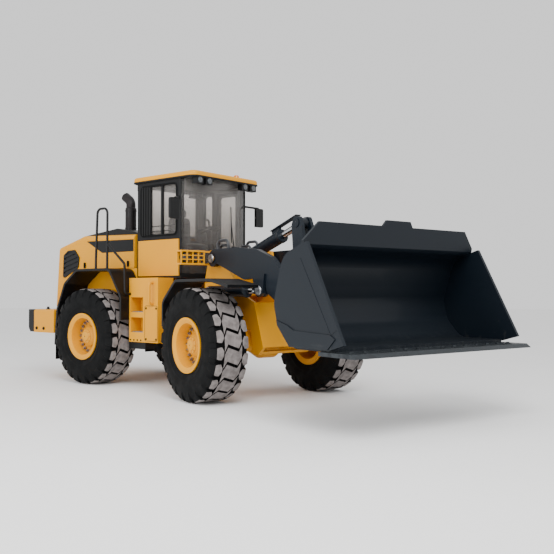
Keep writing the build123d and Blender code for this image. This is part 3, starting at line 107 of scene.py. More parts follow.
floor_reach, floor_patches_per_metre = 60, 0.6
floor_corners = [(-floor_reach, -floor_reach, 0), (floor_reach, -floor_reach, 0)]
floor_corners += [(floor_reach, floor_reach, 0), (-floor_reach, floor_reach, 0)]
floor_mesh = bpy.data.meshes.new("studio_floor")
floor_mesh.from_pydata(floor_corners, [], [(0, 1, 2, 3)])
floor = bpy.data.objects.new("studio_floor", floor_mesh)
bpy.context.scene.collection.objects.link(floor)
floor_paint, tree, shader = surface("studio_floor_paint", Roughness=0.85)
spot = add(tree, "ShaderNodeTexCoord").outputs["Object"]
mottle = add(
    tree,
    "ShaderNodeTexNoise",
    {"Scale": floor_patches_per_metre, "Detail": 3},
    {"Vector": spot},
)
pale = add(
    tree,
    "ShaderNodeMixRGB",
    {"Color1": linear("#F4F4F3"), "Color2": linear("#FAFAFA")},
    {"Fac": mottle.outputs["Fac"]},
)
tree.links.new(pale.outputs["Color"], shader.inputs["Base Color"])
floor_mesh.materials.append(floor_paint)

world = bpy.data.worlds.new("studio")
bpy.context.scene.world = world
world.use_nodes = True
world.node_tree.nodes["Background"].inputs["Color"].default_value = linear("#FFFFFF")
world.node_tree.nodes["Background"].inputs["Strength"].default_value = 1.1
lit_point = Vector((0, 0, 1.4))
for lamp_name, place, size, power in (
    ("key_panel", (7.0, -6.0, 9.0), 6.0, 1100),
    ("side_panel", (-2.0, -12.0, 5.0), 7.0, 700),
):
    panel = bpy.data.objects.new(lamp_name, bpy.data.lights.new(lamp_name, "AREA"))
    bpy.context.scene.collection.objects.link(panel)
    panel.data.size = size
    panel.data.energy = power
    panel.location = place
    panel.rotation_euler = (lit_point - panel.location).to_track_quat("-Z", "Y").to_euler()

# Frames and axles: welded steel plate and cast housings, sprayed in the machine's amber enamel as one.
# Enamel has a soft gloss, shows the spray's orange peel close by, and holds pale dust on its ledges.


def enamel(name, paint, faded, dust, gloss, dust_share, shine):
    """Sprayed machine enamel on steel: a little faded in clouds, dusty where it faces up or sits low."""
    coat, coat_blur, gloss_spread = shine / 3, 0.12, 0.22
    material, tree, shader = surface(
        name, Coat_Weight=coat, Coat_Roughness=coat_blur, Specular_IOR_Level=shine
    )
    # Real orange peel is a few millimetres across: it is drawn coarser here, so that it shows.
    cloud_size, peel_size, grit_size, splash_height = 0.9, 0.012, 0.05, 0.75
    spot = add(tree, "ShaderNodeTexCoord").outputs["Object"]
    cloud = add(tree, "ShaderNodeTexNoise", {"Scale": 1 / cloud_size, "Detail": 4}, {"Vector": spot})
    grit = add(tree, "ShaderNodeTexNoise", {"Scale": 1 / grit_size, "Detail": 6}, {"Vector": spot})
    fade = add(
        tree,
        "ShaderNodeMixRGB",
        {"Color1": linear(paint), "Color2": linear(faded)},
        {"Fac": cloud.outputs["Fac"]},
    )
    facing = add(tree, "ShaderNodeNewGeometry")
    up = add(tree, "ShaderNodeSeparateXYZ", links={"Vector": facing.outputs["Normal"]})
    height = add(tree, "ShaderNodeSeparateXYZ", links={"Vector": spot})
    ledge = add(
        tree,
        "ShaderNodeMapRange",
        {"From Min": 0.5, "From Max": 1.0, "To Max": dust_share},
        {"Value": up.outputs["Z"]},
    )
    splash = add(
        tree,
        "ShaderNodeMapRange",
        {"From Min": splash_height, "From Max": 0.1, "To Max": dust_share},
        {"Value": height.outputs["Z"]},
    )
    settled = add(
        tree,
        "ShaderNodeMath",
        {"operation": "MAXIMUM"},
        {0: ledge.outputs["Result"], 1: splash.outputs["Result"]},
    )
    patchy = add(
        tree,
        "ShaderNodeMath",
        {"operation": "MULTIPLY"},
        {0: settled.outputs["Value"], 1: grit.outputs["Fac"]},
    )
    dusted = add(
        tree,
        "ShaderNodeMixRGB",
        {"Color2": linear(dust)},
        {"Fac": patchy.outputs["Value"], "Color1": fade.outputs["Color"]},
    )
    tree.links.new(dusted.outputs["Color"], shader.inputs["Base Color"])
    dull = add(
        tree,
        "ShaderNodeMapRange",
        {"To Min": gloss, "To Max": gloss + gloss_spread},
        {"Value": cloud.outputs["Fac"]},
    )
    tree.links.new(dull.outputs["Result"], shader.inputs["Roughness"])
    peel = add(tree, "ShaderNodeTexNoise", {"Scale": 1 / peel_size, "Detail": 2}, {"Vector": spot})
    relief = add(
        tree,
        "ShaderNodeBump",
        {"Strength": 0.06, "Distance": 0.002},
        {"Height": peel.outputs["Fac"]},
    )
    tree.links.new(relief.outputs["Normal"], shader.inputs["Normal"])
    return material


def paint_nodes(material, *names):
    """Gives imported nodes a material."""
    for name in names:
        nodes[name].data.materials.clear()
        nodes[name].data.materials.append(material)


amber_enamel = enamel("amber_machine_enamel", "#DA9200", "#E09C08", "#B48C42", 0.36, 0.35, 0.25)
paint_nodes(amber_enamel, "rear_frame", "front_frame", "rear_axle", "front_axle")

# Wheels: wide earthmover tyres with a row of Z-shaped lugs between two rows of shoulder blocks, on welded
# amber rims held by nuts under a bolted hub cover. The rubber is dull black with a fine mould grain, and
# the lugs' running faces are scuffed and dusty grey. Nuts are zinc-plated steel.


def mottled(name, first, second, patch, rough, grain, depth, **sockets):
    """A material of two close tones in patches, uneven in gloss and with a fine grain; sizes in metres."""
    material, tree, shader = surface(name, **sockets)
    spot = add(tree, "ShaderNodeTexCoord").outputs["Object"]
    cloud = add(tree, "ShaderNodeTexNoise", {"Scale": 1 / patch, "Detail": 5}, {"Vector": spot})
    spread = add(
        tree,
        "ShaderNodeMapRange",
        {"From Min": 0.35, "From Max": 0.65},
        {"Value": cloud.outputs["Fac"]},
    )
    tone = add(
        tree,
        "ShaderNodeMixRGB",
        {"Color1": linear(first), "Color2": linear(second)},
        {"Fac": spread.outputs["Result"]},
    )
    tree.links.new(tone.outputs["Color"], shader.inputs["Base Color"])
    dull = add(
        tree,
        "ShaderNodeMapRange",
        {"To Min": rough[0], "To Max": rough[1]},
        {"Value": spread.outputs["Result"]},
    )
    tree.links.new(dull.outputs["Result"], shader.inputs["Roughness"])
    pores = add(tree, "ShaderNodeTexNoise", {"Scale": 1 / grain, "Detail": 3}, {"Vector": spot})
    relief = add(
        tree,
        "ShaderNodeBump",
        {"Strength": 0.35, "Distance": depth},
        {"Height": pores.outputs["Fac"]},
    )
    tree.links.new(relief.outputs["Normal"], shader.inputs["Normal"])
    return material


def turned(shape, profile, sides):
    """Adds a ring turned about Y from a closed profile of (along Y, radius) points."""
    rings = []
    for step in range(sides):
        angle = 2 * pi * step / sides
        rings.append([shape.verts.new((r * sin(angle), u, r * cos(angle))) for u, r in profile])
    for step in range(sides):
        near, far = rings[step], rings[(step + 1) % sides]
        for i in range(len(profile)):
            j = (i + 1) % len(profile)
            shape.faces.new((near[i], near[j], far[j], far[i]))


def rod(shape, start, end, radius, sides=20, tip=None):
    """Adds a round or many-sided bar between two points, its far end as thick as tip where given."""
    start, end = Vector(start), Vector(end)
    turn = (end - start).to_track_quat("Z", "Y").to_matrix().to_4x4()
    bmesh.ops.create_cone(
        shape,
        cap_ends=True,
        segments=sides,
        radius1=radius,
        radius2=radius if tip is None else tip,
        depth=(end - start).length,
        matrix=Matrix.Translation((start + end) / 2) @ turn,
    )


def bolts(shape, spots, out, size, height):
    """Adds hexagon bolt heads on washers at some spots, standing out along one direction."""
    out = Vector(out)
    washer_share, washer_spread, chamfer = 0.3, 1.45, 0.93
    for spot in spots:
        spot = Vector(spot)
        rod(shape, spot, spot + out * height * washer_share, size * washer_spread, 20)
        rod(shape, spot, spot + out * height, size, 6, size * chamfer)


def bolt_ring(count, radius, depth):
    """Spots evenly round the Y axis, at one depth along it."""
    angles = [2 * pi * step / count for step in range(count)]
    return [(radius * sin(angle), depth, radius * cos(angle)) for angle in angles]


def fit(name, shape, place, body, slot, *finishes):
    """Makes a mesh of a shape, puts it in place on a body and gives it its finishes."""
    bmesh.ops.recalc_face_normals(shape, faces=shape.faces)
    mesh = bpy.data.meshes.new(name)
    shape.to_mesh(mesh)
    shape.free()
    mesh.polygons.foreach_set("use_smooth", [True] * len(mesh.polygons))
    mesh.set_sharp_from_angle(angle=radians(32))
    for finish in finishes:
        mesh.materials.append(finish)
    piece = bpy.data.objects.new(name, mesh)
    bpy.context.scene.collection.objects.link(piece)
    piece.matrix_world = place
    bpy.context.view_layer.update()
    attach(piece, body)
    return piece


black_rubber = mottled(
    "black_tyre_rubber", "#030405", "#070809", 0.12, (0.6, 0.8), 0.004, 0.001, Specular_IOR_Level=0.15
)
scuffed_rubber = mottled(
    "scuffed_tread_rubber", "#6E6866", "#8D8684", 0.07, (0.75, 0.92), 0.006, 0.0015, Specular_IOR_Level=0.2
)
plated_steel = mottled(
    "zinc_plated_steel", "#8B8D90", "#A3A4A6", 0.03, (0.3, 0.5), 0.002, 0.0003, Metallic=0.9
)
# One half of the tyre's section, from tread to bead: distance from the tyre's middle and radius.
tyre_side = [
    (-0.150, 0.763),
    (-0.245, 0.750),
    (-0.268, 0.708),
    (-0.286, 0.640),
    (-0.297, 0.547),
    (-0.290, 0.500),
    (-0.294, 0.490),
    (-0.285, 0.450),
    (-0.2555, 0.398),
    (-0.255, 0.340),
]
tyre_section = tyre_side + [(-u, r) for u, r in reversed(tyre_side)]
# Each slice of a lug: distance from the tyre's middle, its two sides along the tread, its top and its foot.
middle_lug = [
    (-0.135, -0.026, 0.160, 0.804, 0.757),
    (-0.085, -0.124, 0.062, 0.805, 0.758),
    (0.085, -0.062, 0.124, 0.805, 0.758),
    (0.135, -0.160, 0.026, 0.804, 0.757),
]
shoulder_lug = [
    (0.146, 0.016, 0.076, 0.804, 0.755),
    (0.178, -0.040, 0.132, 0.803, 0.752),
    (0.222, -0.036, 0.128, 0.800, 0.744),
    (0.246, -0.026, 0.118, 0.790, 0.736),
    (0.267, -0.020, 0.112, 0.757, 0.700),
    (0.284, -0.014, 0.106, 0.700, 0.645),
]
other_shoulder = [(-u, -front, -back, top, foot) for u, back, front, top, foot in shoulder_lug]
lug_count, tread_radius, foot_spread, running_top = 22, 0.805, 0.008, 0.789
disc_face, nut_ring, nut_count, nut_size, nut_height = 0.090, 0.262, 20, 0.019, 0.026
stud_radius, stud_reach = 0.010, 0.036
hub_face, cover_bolt_ring, cover_bolt_count, cover_flange = 0.175, 0.100, 8, 0.013
# The hub cover's section: height above the hub's face and radius.
cover_section = [(0, 0.118), (0.012, 0.114), (0.016, 0.086), (0.034, 0.074)]
cover_section += [(0.040, 0.060), (0.041, 0.012), (0, 0.012)]
for end in ("front", "rear"):
    for side_name, outward in (("left", 1), ("right", -1)):
        wheel = f"{end}_{side_name}"
        body = f"{wheel}_wheel"
        low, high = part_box(f"{wheel}_tyre")
        place = (front_body if end == "front" else rear_body).copy()
        place.translation = (low + high) / 2
        shape = bmesh.new()
        turned(shape, tyre_section, 96)
        for row in (middle_lug, shoulder_lug, other_shoulder):
            for step in range(lug_count):
                around = 2 * pi * step / lug_count
                slices = []
                for u, back, front, top, foot in row:
                    corners = ((back, top), (0.5 * (back + front), top), (front, top))
                    corners += ((front + foot_spread, foot), (back - foot_spread, foot))
                    ring = []
                    for s, r in corners:
                        angle = around + s / tread_radius
                        ring.append(shape.verts.new((r * sin(angle), u, r * cos(angle))))
                    slices.append(ring)
                for k, (near, far) in enumerate(zip(slices, slices[1:])):
                    runs = row[k + 1][3] > running_top
                    for i in range(5):
                        j = (i + 1) % 5
                        face = shape.faces.new((near[i], near[j], far[j], far[i]))
                        face.material_index = 1 if i < 2 and runs else 0
                shape.faces.new(slices[0])
                shape.faces.new(slices[-1])
        tyre = fit(f"{wheel}_lugged_tyre", shape, place, body, "tyre_rubber", black_rubber, scuffed_rubber)
        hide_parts(f"{wheel}_tyre")
        paint_nodes(amber_enamel, f"{wheel}_rim")
        out = Vector((0, outward, 0))
        shape = bmesh.new()
        spots = bolt_ring(nut_count, nut_ring, outward * disc_face)
        bolts(shape, spots, out, nut_size, nut_height)
        for spot in spots:
            rod(shape, spot, Vector(spot) + out * stud_reach, stud_radius, 12)
        fit(f"{wheel}_nuts", shape, place, body, "worn_steel", plated_steel)
        shape = bmesh.new()
        turned(shape, [(outward * (hub_face + u), r) for u, r in cover_section], 40)
        spots = bolt_ring(cover_bolt_count, cover_bolt_ring, outward * (hub_face + cover_flange))
        bolts(shape, spots, out, 0.009, 0.012)
        fit(f"{wheel}_hub_cover", shape, place, body, "yellow_paint", amber_enamel)

# Counterweight: one heavy amber casting across the tail, with black end plates on its rear corners, and red
# tail lamps on its rear face. Black enamel is a satin coat that greys with dust; the lamps' lenses are
# hard red plastic.


def eased(shape, width, segments=2):
    """Rounds a shape's sharp edges."""
    sharp = [edge for edge in shape.edges if edge.calc_face_angle(0) > radians(30)]
    bmesh.ops.bevel(
        shape, geom=sharp, offset=width, segments=segments, profile=0.6, affect="EDGES", clamp_overlap=True
    )


def slab(shape, outline, low, high, axis=1):
    """Adds a flat piece: an outline in the two other axes, from low to high along one axis."""
    rings = []
    for depth in (low, high):
        ring = []
        for spot in outline:
            spot = list(spot)
            spot.insert(axis, depth)
            ring.append(shape.verts.new(spot))
        rings.append(ring)
    near, far = rings
    shape.faces.new(near)
    shape.faces.new(far)
    for i in range(len(outline)):
        j = (i + 1) % len(outline)
        shape.faces.new((near[i], near[j], far[j], far[i]))


def rectangle(low, high, radius=0.0, steps=5):
    """A rectangle's outline between two corners, with rounded corners where a radius is given."""
    if not radius:
        return [(low[0], low[1]), (high[0], low[1]), (high[0], high[1]), (low[0], high[1])]
    centres = [
        (high[0] - radius, high[1] - radius, 0),
        (low[0] + radius, high[1] - radius, 1),
        (low[0] + radius, low[1] + radius, 2),
        (high[0] - radius, low[1] + radius, 3),
    ]
    outline = []
    for x, y, quarter in centres:
        for step in range(steps + 1):
            angle = (quarter + step / steps) * pi / 2
            outline.append((x + radius * cos(angle), y + radius * sin(angle)))
    return outline


def span(side, inner, outer):
    """Two distances from the machine's middle on one side of it, the lower first."""
    return sorted((side * inner, side * outer))


black_enamel = enamel("black_satin_enamel", "#040507", "#08090C", "#3A352F", 0.36, 0.25, 0.25)
red_lens = mottled(
    "red_lamp_plastic", "#8E0F12", "#A31417", 0.02, (0.1, 0.2), 0.006, 0.0008, Coat_Weight=0.6
)
paint_nodes(amber_enamel, "counterweight")
paint_nodes(black_enamel, "rear_bumpers", "tow_hitch")
end_plate, end_bolt_height, end_bolts = 1.270, 0.900, (-3.120, -2.900)
top_bolt = (-2.900, 1.180, 1.240)
shape = bmesh.new()
for side in (1, -1):
    bolts(shape, [(x, side * end_plate, end_bolt_height) for x in end_bolts], (0, side, 0), 0.020, 0.022)
    bolts(shape, [(top_bolt[0], side * top_bolt[1], top_bolt[2])], (0, 0, 1), 0.026, 0.05)
fit("counterweight_bolts", shape, rear_body, "rear_body", "black_paint", black_enamel)
tail_lamp_inner_edges, tail_lamp_width, tail_lamp_low, tail_lamp_high = (0.76, 0.93), 0.14, 1.02, 1.14
tail_face, tail_lamp_corner = (-3.470, -3.450), 0.02
shape = bmesh.new()
for side in (1, -1):
    for inner in tail_lamp_inner_edges:
        low_y, high_y = span(side, inner, inner + tail_lamp_width)
        lamp = rectangle((low_y, tail_lamp_low), (high_y, tail_lamp_high), tail_lamp_corner)
        slab(shape, lamp, *tail_face, 0)
eased(shape, 0.006)
fit("tail_lamps", shape, rear_body, "rear_body", "lamp_lens", red_lens)

# Engine hood: pressed amber sheet with a black anti-glare deck, black louvred vents and slatted grille,
# over a grey cast engine. A bare black film runs along each side, rubber pull latches hold the lower edge,
# and bolted bands clamp the heat-stained exhaust.
cast_iron = mottled("grey_cast_iron", "#38393C", "#4A4A4C", 0.05, (0.55, 0.75), 0.008, 0.002, Metallic=0.3)
burnt_steel = mottled(
    "heat_stained_steel", "#141315", "#241F20", 0.15, (0.4, 0.6), 0.01, 0.001, Metallic=0.5
)
paint_nodes(cast_iron, "engine_block")
paint_nodes(amber_enamel, "hood", "side_panels")
paint_nodes(black_enamel, "hood_deck", "hood_vents", "rear_grille")
paint_nodes(burnt_steel, "exhaust_stack")
hood_side, film_face = 0.750, 0.7525
film_outline = [(-2.350, 2.468), (-1.045, 2.450), (-1.045, 2.246), (-1.902, 2.246)]
shape = bmesh.new()
for side in (1, -1):
    slab(shape, film_outline, *span(side, hood_side, film_face))
fit("hood_film", shape, rear_body, "hood_body", "black_paint", black_enamel)
latch_places, latch_half, latch_low, latch_high = (-2.400, -1.180), 0.022, 1.985, 2.085
latch_face, pull_face, pull_low, pull_high = 0.768, 0.770, 2.000, 2.065
shape = bmesh.new()
for side in (1, -1):
    for x in latch_places:
        latch = rectangle((x - latch_half, latch_low), (x + latch_half, latch_high), 0.012)
        slab(shape, latch, *span(side, hood_side, latch_face))
        rod(shape, (x, side * pull_face, pull_high), (x, side * pull_face, pull_low), 0.008, 12)
eased(shape, 0.004)
fit("hood_latches", shape, rear_body, "hood_body", "black_paint", black_rubber)
clamp_heights, clamp_width, pipe_radius, clamp_radius = (2.70, 3.02), 0.022, 0.100, 0.106
pipe_place = (-1.790, -0.200, 0)
clamp_bolt_radius = clamp_radius + 0.002
shape = bmesh.new()
for low_z in clamp_heights:
    high_z = low_z + clamp_width
    band = [(low_z, pipe_radius), (low_z, clamp_radius), (high_z, clamp_radius), (high_z, pipe_radius)]
    turned(shape, band, 40)
spots = [(clamp_bolt_radius, low_z + clamp_width / 2, 0) for low_z in clamp_heights]
bolts(shape, spots, (1, 0, 0), 0.008, 0.014)
clamp_place = rear_body @ Matrix.Translation(pipe_place) @ Matrix.Rotation(pi / 2, 4, "X")
fit("exhaust_clamps", shape, clamp_place, "hood_body", "exhaust_steel", burnt_steel)

# Fenders: folded black sheet over the wheels, and rubber flaps behind the rear ones.
# Flap rubber is the tyres' dull black.
paint_nodes(black_enamel, "rear_fenders", "front_fenders")
paint_nodes(black_rubber, "mud_flaps")

# Step boxes: amber tank and battery boxes with recessed steps and bolted covers; black lower steps
# hang below and dark tubes guide the hand. Step plates are zinc-plated steel with raised studs.


def strip(shape, path, width, low, high, axis=1, closed=True):
    """Adds a flat band that follows a path in the two other axes, from low to high along one axis."""
    count = len(path)
    sections = []
    for i in range(count):
        here = Vector(path[i])
        before = here - Vector(path[i - 1]) if closed or i else None
        after = Vector(path[(i + 1) % count]) - here if closed or i < count - 1 else None
        before, after = before or after, after or before
        heading = before.normalized() + after.normalized()
        mitre = Vector((-heading.y, heading.x)).normalized()
        stretch = 1 / max(0.4, mitre.dot(Vector((-after.y, after.x)).normalized()))
        ring = []
        for reach, depth in ((-0.5, low), (0.5, low), (0.5, high), (-0.5, high)):
            spot = list(here + mitre * width * stretch * reach)
            spot.insert(axis, depth)
            ring.append(shape.verts.new(spot))
        sections.append(ring)
    for i in range(count if closed else count - 1):
        near, far = sections[i], sections[(i + 1) % count]
        for k in range(4):
            shape.faces.new((near[k], near[(k + 1) % 4], far[(k + 1) % 4], far[k]))
    if not closed:
        shape.faces.new(sections[0])
        shape.faces.new(sections[-1])


paint_nodes(amber_enamel, "step_boxes")
paint_nodes(black_enamel, "lower_steps", "handrails")
step_heights, plate_thickness, plate_rear, plate_front = (0.901, 1.226), 0.006, -0.690, -0.400
plate_inner, plate_outer = 0.900, 1.085
first_stud, stud_pitch, stud_columns, stud_rows = (-0.665, 0.925), (0.040, 0.045), 7, 4
stud_rise = Vector((0, 0, 0.008))
shape = bmesh.new()
for side in (1, -1):
    for step_z in step_heights:
        low_y, high_y = span(side, plate_inner, plate_outer)
        plate_top = step_z + plate_thickness
        slab(shape, rectangle((plate_rear, low_y), (plate_front, high_y), 0.01), step_z, plate_top, 2)
        for column in range(stud_columns):
            for row in range(stud_rows):
                x = first_stud[0] + column * stud_pitch[0]
                y = side * (first_stud[1] + row * stud_pitch[1])
                foot = Vector((x, y, plate_top))
                rod(shape, foot, foot + stud_rise, 0.012, 12, 0.007)
fit("step_plates", shape, rear_body, "rear_body", "worn_steel", plated_steel)
box_face, seam_low, seam_high = 1.090, 1.0895, 1.0915
cover_outline = rectangle((-0.350, 0.770), (-0.050, 1.330), 0.03)
shape = bmesh.new()
for side in (1, -1):
    spots = [(x, side * box_face, z) for x in (-0.320, -0.080) for z in (0.800, 1.290)]
    bolts(shape, spots, (0, side, 0), 0.012, 0.012)
    spots = [(-0.700 + 0.085 * k, side * box_face, 0.775) for k in range(4)]
    bolts(shape, spots, (0, side, 0), 0.010, 0.010)
    strip(shape, cover_outline, 0.006, *span(side, seam_low, seam_high))
fit("step_box_fittings", shape, rear_body, "rear_body", "black_paint", black_enamel)

# Cab: black welded posts and walls, an amber side panel and roof, and smoked safety glass in rubber seals.
# The glass's colour pales towards the roof as a painted reflection of the overhead light; seals are dull
# rubber, wiper and trims black plastic.
black_plastic = mottled(
    "black_moulded_plastic", "#060708", "#0B0C0D", 0.04, (0.45, 0.6), 0.002, 0.0004, Specular_IOR_Level=0.3
)
paint_nodes(black_enamel, "cab_floor", "cab_right_wall", "cab_left_wall", "cab_rear_wall", "cab_door")
paint_nodes(amber_enamel, "cab_panels", "cab_roof")
# The pane's low IOR keeps thin glass from bending the view; its colour carries random smears and a painted
# reflection that pales it towards the roof.
smoked_glass, tree, shader = surface(
    "smoked_safety_glass",
    IOR=1.02,
    Roughness=0.0,
    Transmission_Weight=0.92,
    Coat_Weight=0.4,
    Coat_Roughness=0.0,
)
smear_size = 0.2
spot = add(tree, "ShaderNodeTexCoord").outputs["Object"]
height = add(tree, "ShaderNodeSeparateXYZ", links={"Vector": spot})
# Painted reflection: the glass is paled with height towards the roof, standing in for the overhead light's
# reflection.
painted_reflection_rise = add(tree, "ShaderNodeMapRange", {"From Min": 2.1, "From Max": 3.4}, {"Value": height.outputs["Z"]})
film = add(tree, "ShaderNodeTexNoise", {"Scale": 1 / smear_size, "Detail": 4}, {"Vector": spot})
smear = add(tree, "ShaderNodeMapRange", {"To Min": -0.15, "To Max": 0.15}, {"Value": film.outputs["Fac"]})
smears_and_painted_reflection = add(tree, "ShaderNodeMath", links={0: smear.outputs["Result"], 1: painted_reflection_rise.outputs["Result"]})
# Painted reflection and smears: the pale colour is mixed in by height and by random smears.
glass_tint_and_painted_reflection = add(
    tree,
    "ShaderNodeMixRGB",
    {"Color1": linear("#A39D97"), "Color2": linear("#F1EDE9")},
    {"Fac": smears_and_painted_reflection.outputs["Value"]},
)
tree.links.new(glass_tint_and_painted_reflection.outputs["Color"], shader.inputs["Base Color"])
paint_nodes(smoked_glass, "cab_glass", "door_glass")
window_low, window_high, window_corner, seal_width, seal_half = 2.480, 3.310, 0.070, 0.034, 0.006
wall_face, window_rear, right_window_front, left_window_front = 0.760, -0.840, 0.030, -0.590
shape = bmesh.new()
for wall_y, window_front in ((-wall_face, right_window_front), (wall_face, left_window_front)):
    seal = rectangle((window_rear, window_low), (window_front, window_high), window_corner)
    strip(shape, seal, seal_width, wall_y - seal_half, wall_y + seal_half)
fit("window_seals", shape, rear_body, "rear_body", "flap_rubber", black_rubber)
# Right window: a mullion, two guard bars inside and a ribbed blank panel over its rear end.
mullion = rectangle((-0.345, window_low), (-0.310, window_high))
bar_y, bar_heights = -0.700, (2.560, 2.640)
blank_panel = rectangle((-0.842, window_low - 0.01), (-0.600, window_high + 0.01), 0.02)
rib_places, rib_width = (-0.800, -0.740, -0.680), 0.024
rib_low, rib_high = window_low + 0.01, window_high - 0.01
# Front posts' round edges, the headliner under the roof and the dark lip round the roof's edge.
post_x, post_y, post_low, post_high = 0.124, 0.764, 1.862, 3.384
headliner, headliner_low, headliner_high = rectangle((-1.040, -0.775), (0.440, 0.775), 0.1), 3.374, 3.3905
roof_edge, edge_low, edge_high = rectangle((-1.052, -0.791), (0.453, 0.791), 0.11), 3.384, 3.404
shape = bmesh.new()
slab(shape, mullion, -0.762, -0.716)
for z in bar_heights:
    rod(shape, (-0.835, bar_y, z), (0.025, bar_y, z), 0.011, 14)
for side in (1, -1):
    rod(shape, (post_x, side * post_y, post_low), (post_x, side * post_y, post_high), 0.016, 14)
slab(shape, headliner, headliner_low, headliner_high, 2)
slab(shape, blank_panel, -0.764, -0.716)
for x in rib_places:
    slab(shape, rectangle((x, rib_low), (x + rib_width, rib_high)), -0.774, -0.762)
strip(shape, roof_edge, 0.020, edge_low, edge_high, 2)
eased(shape, 0.002, 1)
fit("cab_trims", shape, rear_body, "rear_body", "cab_plastic", black_plastic)
pane_radius, pane_centre = 1.480, -1.150


def on_pane(y, z, out):
    """A point on the bowed front pane, or that far out from it."""
    return (pane_centre + sqrt((pane_radius + out) ** 2 - y * y), y, z)


# Wiper: its spindle, arm, blade and the clip that joins arm and blade.
shape = bmesh.new()
rod(shape, on_pane(0.26, 2.30, 0.0), on_pane(0.26, 2.30, 0.045), 0.024, 20, 0.018)
rod(shape, on_pane(0.26, 2.30, 0.034), on_pane(0.20, 2.62, 0.030), 0.010, 10, 0.007)
rod(shape, on_pane(0.21, 2.38, 0.016), on_pane(0.19, 2.98, 0.016), 0.009, 10)
rod(shape, on_pane(0.20, 2.62, 0.032), on_pane(0.20, 2.66, 0.014), 0.009, 10)
fit("wiper", shape, rear_body, "rear_body", "cab_plastic", black_plastic)

# Roof and mirror fittings: black lamp bodies with bowed clear lenses, a low amber beacon, and mirror glass
# in black shells. Lenses are hard plastic with a wet shine; the mirror's silver shows what is behind.
clear_lens = mottled(
    "clear_lamp_plastic", "#2E3236", "#4C5155", 0.03, (0.08, 0.16), 0.012, 0.002, Coat_Weight=0.8
)
amber_lens = mottled(
    "amber_beacon_plastic", "#C56A0C", "#D97B12", 0.03, (0.1, 0.2), 0.008, 0.001, Coat_Weight=0.6
)
silvered = mottled(
    "silvered_mirror_glass", "#C9CED2", "#D6DADD", 0.2, (0.02, 0.05), 0.05, 0.0002, Metallic=1.0
)
paint_nodes(black_plastic, "roof_lamps", "mirrors")


def lens(shape, middle, out, radius, depth):
    """Adds a bowed round lens with a rim, standing out along one direction."""
    middle, out = Vector(middle), Vector(out)
    rod(shape, middle, middle + out * depth * 0.6, radius, 32)
    rod(shape, middle, middle + out * depth * 0.8, radius * 0.9, 32, radius * 0.8)
    rod(shape, middle + out * depth * 0.7, middle + out * depth, radius * 0.82, 32, radius * 0.45)


roof_lamp_height, roof_lens_radius = 3.335, 0.048
shape = bmesh.new()
for y in (-0.64, -0.43, 0.43, 0.64):
    lens(shape, (0.440, y, roof_lamp_height), (1, 0, 0), roof_lens_radius, 0.014)
for y in (-0.60, 0.60):
    lens(shape, (-1.034, y, roof_lamp_height), (-1, 0, 0), roof_lens_radius, 0.012)
fit("roof_lamp_lenses", shape, rear_body, "rear_body", "lamp_lens", clear_lens)
beacon_x, beacon_y = 0.300, 0.360
shape = bmesh.new()
for z_low, z_high, low_radius, high_radius in (
    (3.482, 3.494, 0.060, 0.058),
    (3.494, 3.528, 0.050, 0.044),
    (3.528, 3.540, 0.044, 0.026),
):
    rod(shape, (beacon_x, beacon_y, z_low), (beacon_x, beacon_y, z_high), low_radius, 32, high_radius)
fit("roof_beacon", shape, rear_body, "rear_body", "lamp_lens", amber_lens)
mirror_inner, mirror_outer, mirror_low, mirror_high = 0.935, 1.095, 2.715, 3.015
mirror_rear, mirror_front = 0.2165, 0.2205
shape = bmesh.new()
for side in (1, -1):
    low_y, high_y = span(side, mirror_inner, mirror_outer)
    slab(shape, rectangle((low_y, mirror_low), (high_y, mirror_high), 0.025), mirror_rear, mirror_front, 0)
fit("mirror_glass", shape, rear_body, "rear_body", "rod_chrome", silvered)

# Cab door: black frame with its own pane, a rubber seal round the pane, and an outside pull handle that
# stands on a plate, all moulded in black plastic.
door_low, door_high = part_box("door_glass")
door_low, door_high = door_low - hitch, door_high - hitch
shape = bmesh.new()
seal = rectangle((door_low.x, door_low.z), (door_high.x, door_high.z), window_corner)
strip(shape, seal, seal_width, wall_face - seal_half, wall_face + seal_half)
fit("door_seal", shape, rear_body, "door_body", "flap_rubber", black_rubber)
handle_height = 2.125
shape = bmesh.new()
slab(shape, rectangle((-0.090, 2.080), (0.020, 2.170), 0.02), 0.760, 0.768)
slab(shape, rectangle((-0.080, 2.110), (0.010, 2.140), 0.012), 0.776, 0.792)
for x in (-0.070, 0.000):
    rod(shape, (x, 0.764, handle_height), (x, 0.780, handle_height), 0.010, 12)
eased(shape, 0.003)
fit("door_handle", shape, rear_body, "door_body", "cab_plastic", black_plastic)

# Seat and controls: a cloth seat with bolstered cushion, back and head rest on a rubber bellows, and
# moulded consoles with levers. The cloth is a coarse charcoal weave, its threads drawn 4 mm apart so that
# they show; moulded plastic is dull with a fine grain.
seat_cloth, tree, shader = surface("charcoal_seat_cloth", Roughness=0.9, Sheen_Weight=0.3)
thread, wave_length = 0.004, 0.314
spot = add(tree, "ShaderNodeTexCoord").outputs["Object"]
threads = []
for direction in ("X", "Y", "Z"):
    wave = add(
        tree,
        "ShaderNodeTexWave",
        {"Scale": wave_length / thread, "bands_direction": direction, "Distortion": 1.0},
        {"Vector": spot},
    )
    threads.append(wave.outputs["Fac"])
crossed = add(tree, "ShaderNodeMath", {"operation": "MULTIPLY"}, {0: threads[0], 1: threads[1]})
woven = add(
    tree,
    "ShaderNodeMath",
    {"operation": "MAXIMUM"},
    {0: crossed.outputs["Value"], 1: threads[2]},
)
tone = add(
    tree,
    "ShaderNodeMixRGB",
    {"Color1": linear("#1C1D20"), "Color2": linear("#3A3B40")},
    {"Fac": woven.outputs["Value"]},
)
weave = add(
    tree,
    "ShaderNodeBump",
    {"Strength": 0.4, "Distance": 0.001},
    {"Height": woven.outputs["Value"]},
)
tree.links.new(tone.outputs["Color"], shader.inputs["Base Color"])
tree.links.new(weave.outputs["Normal"], shader.inputs["Normal"])


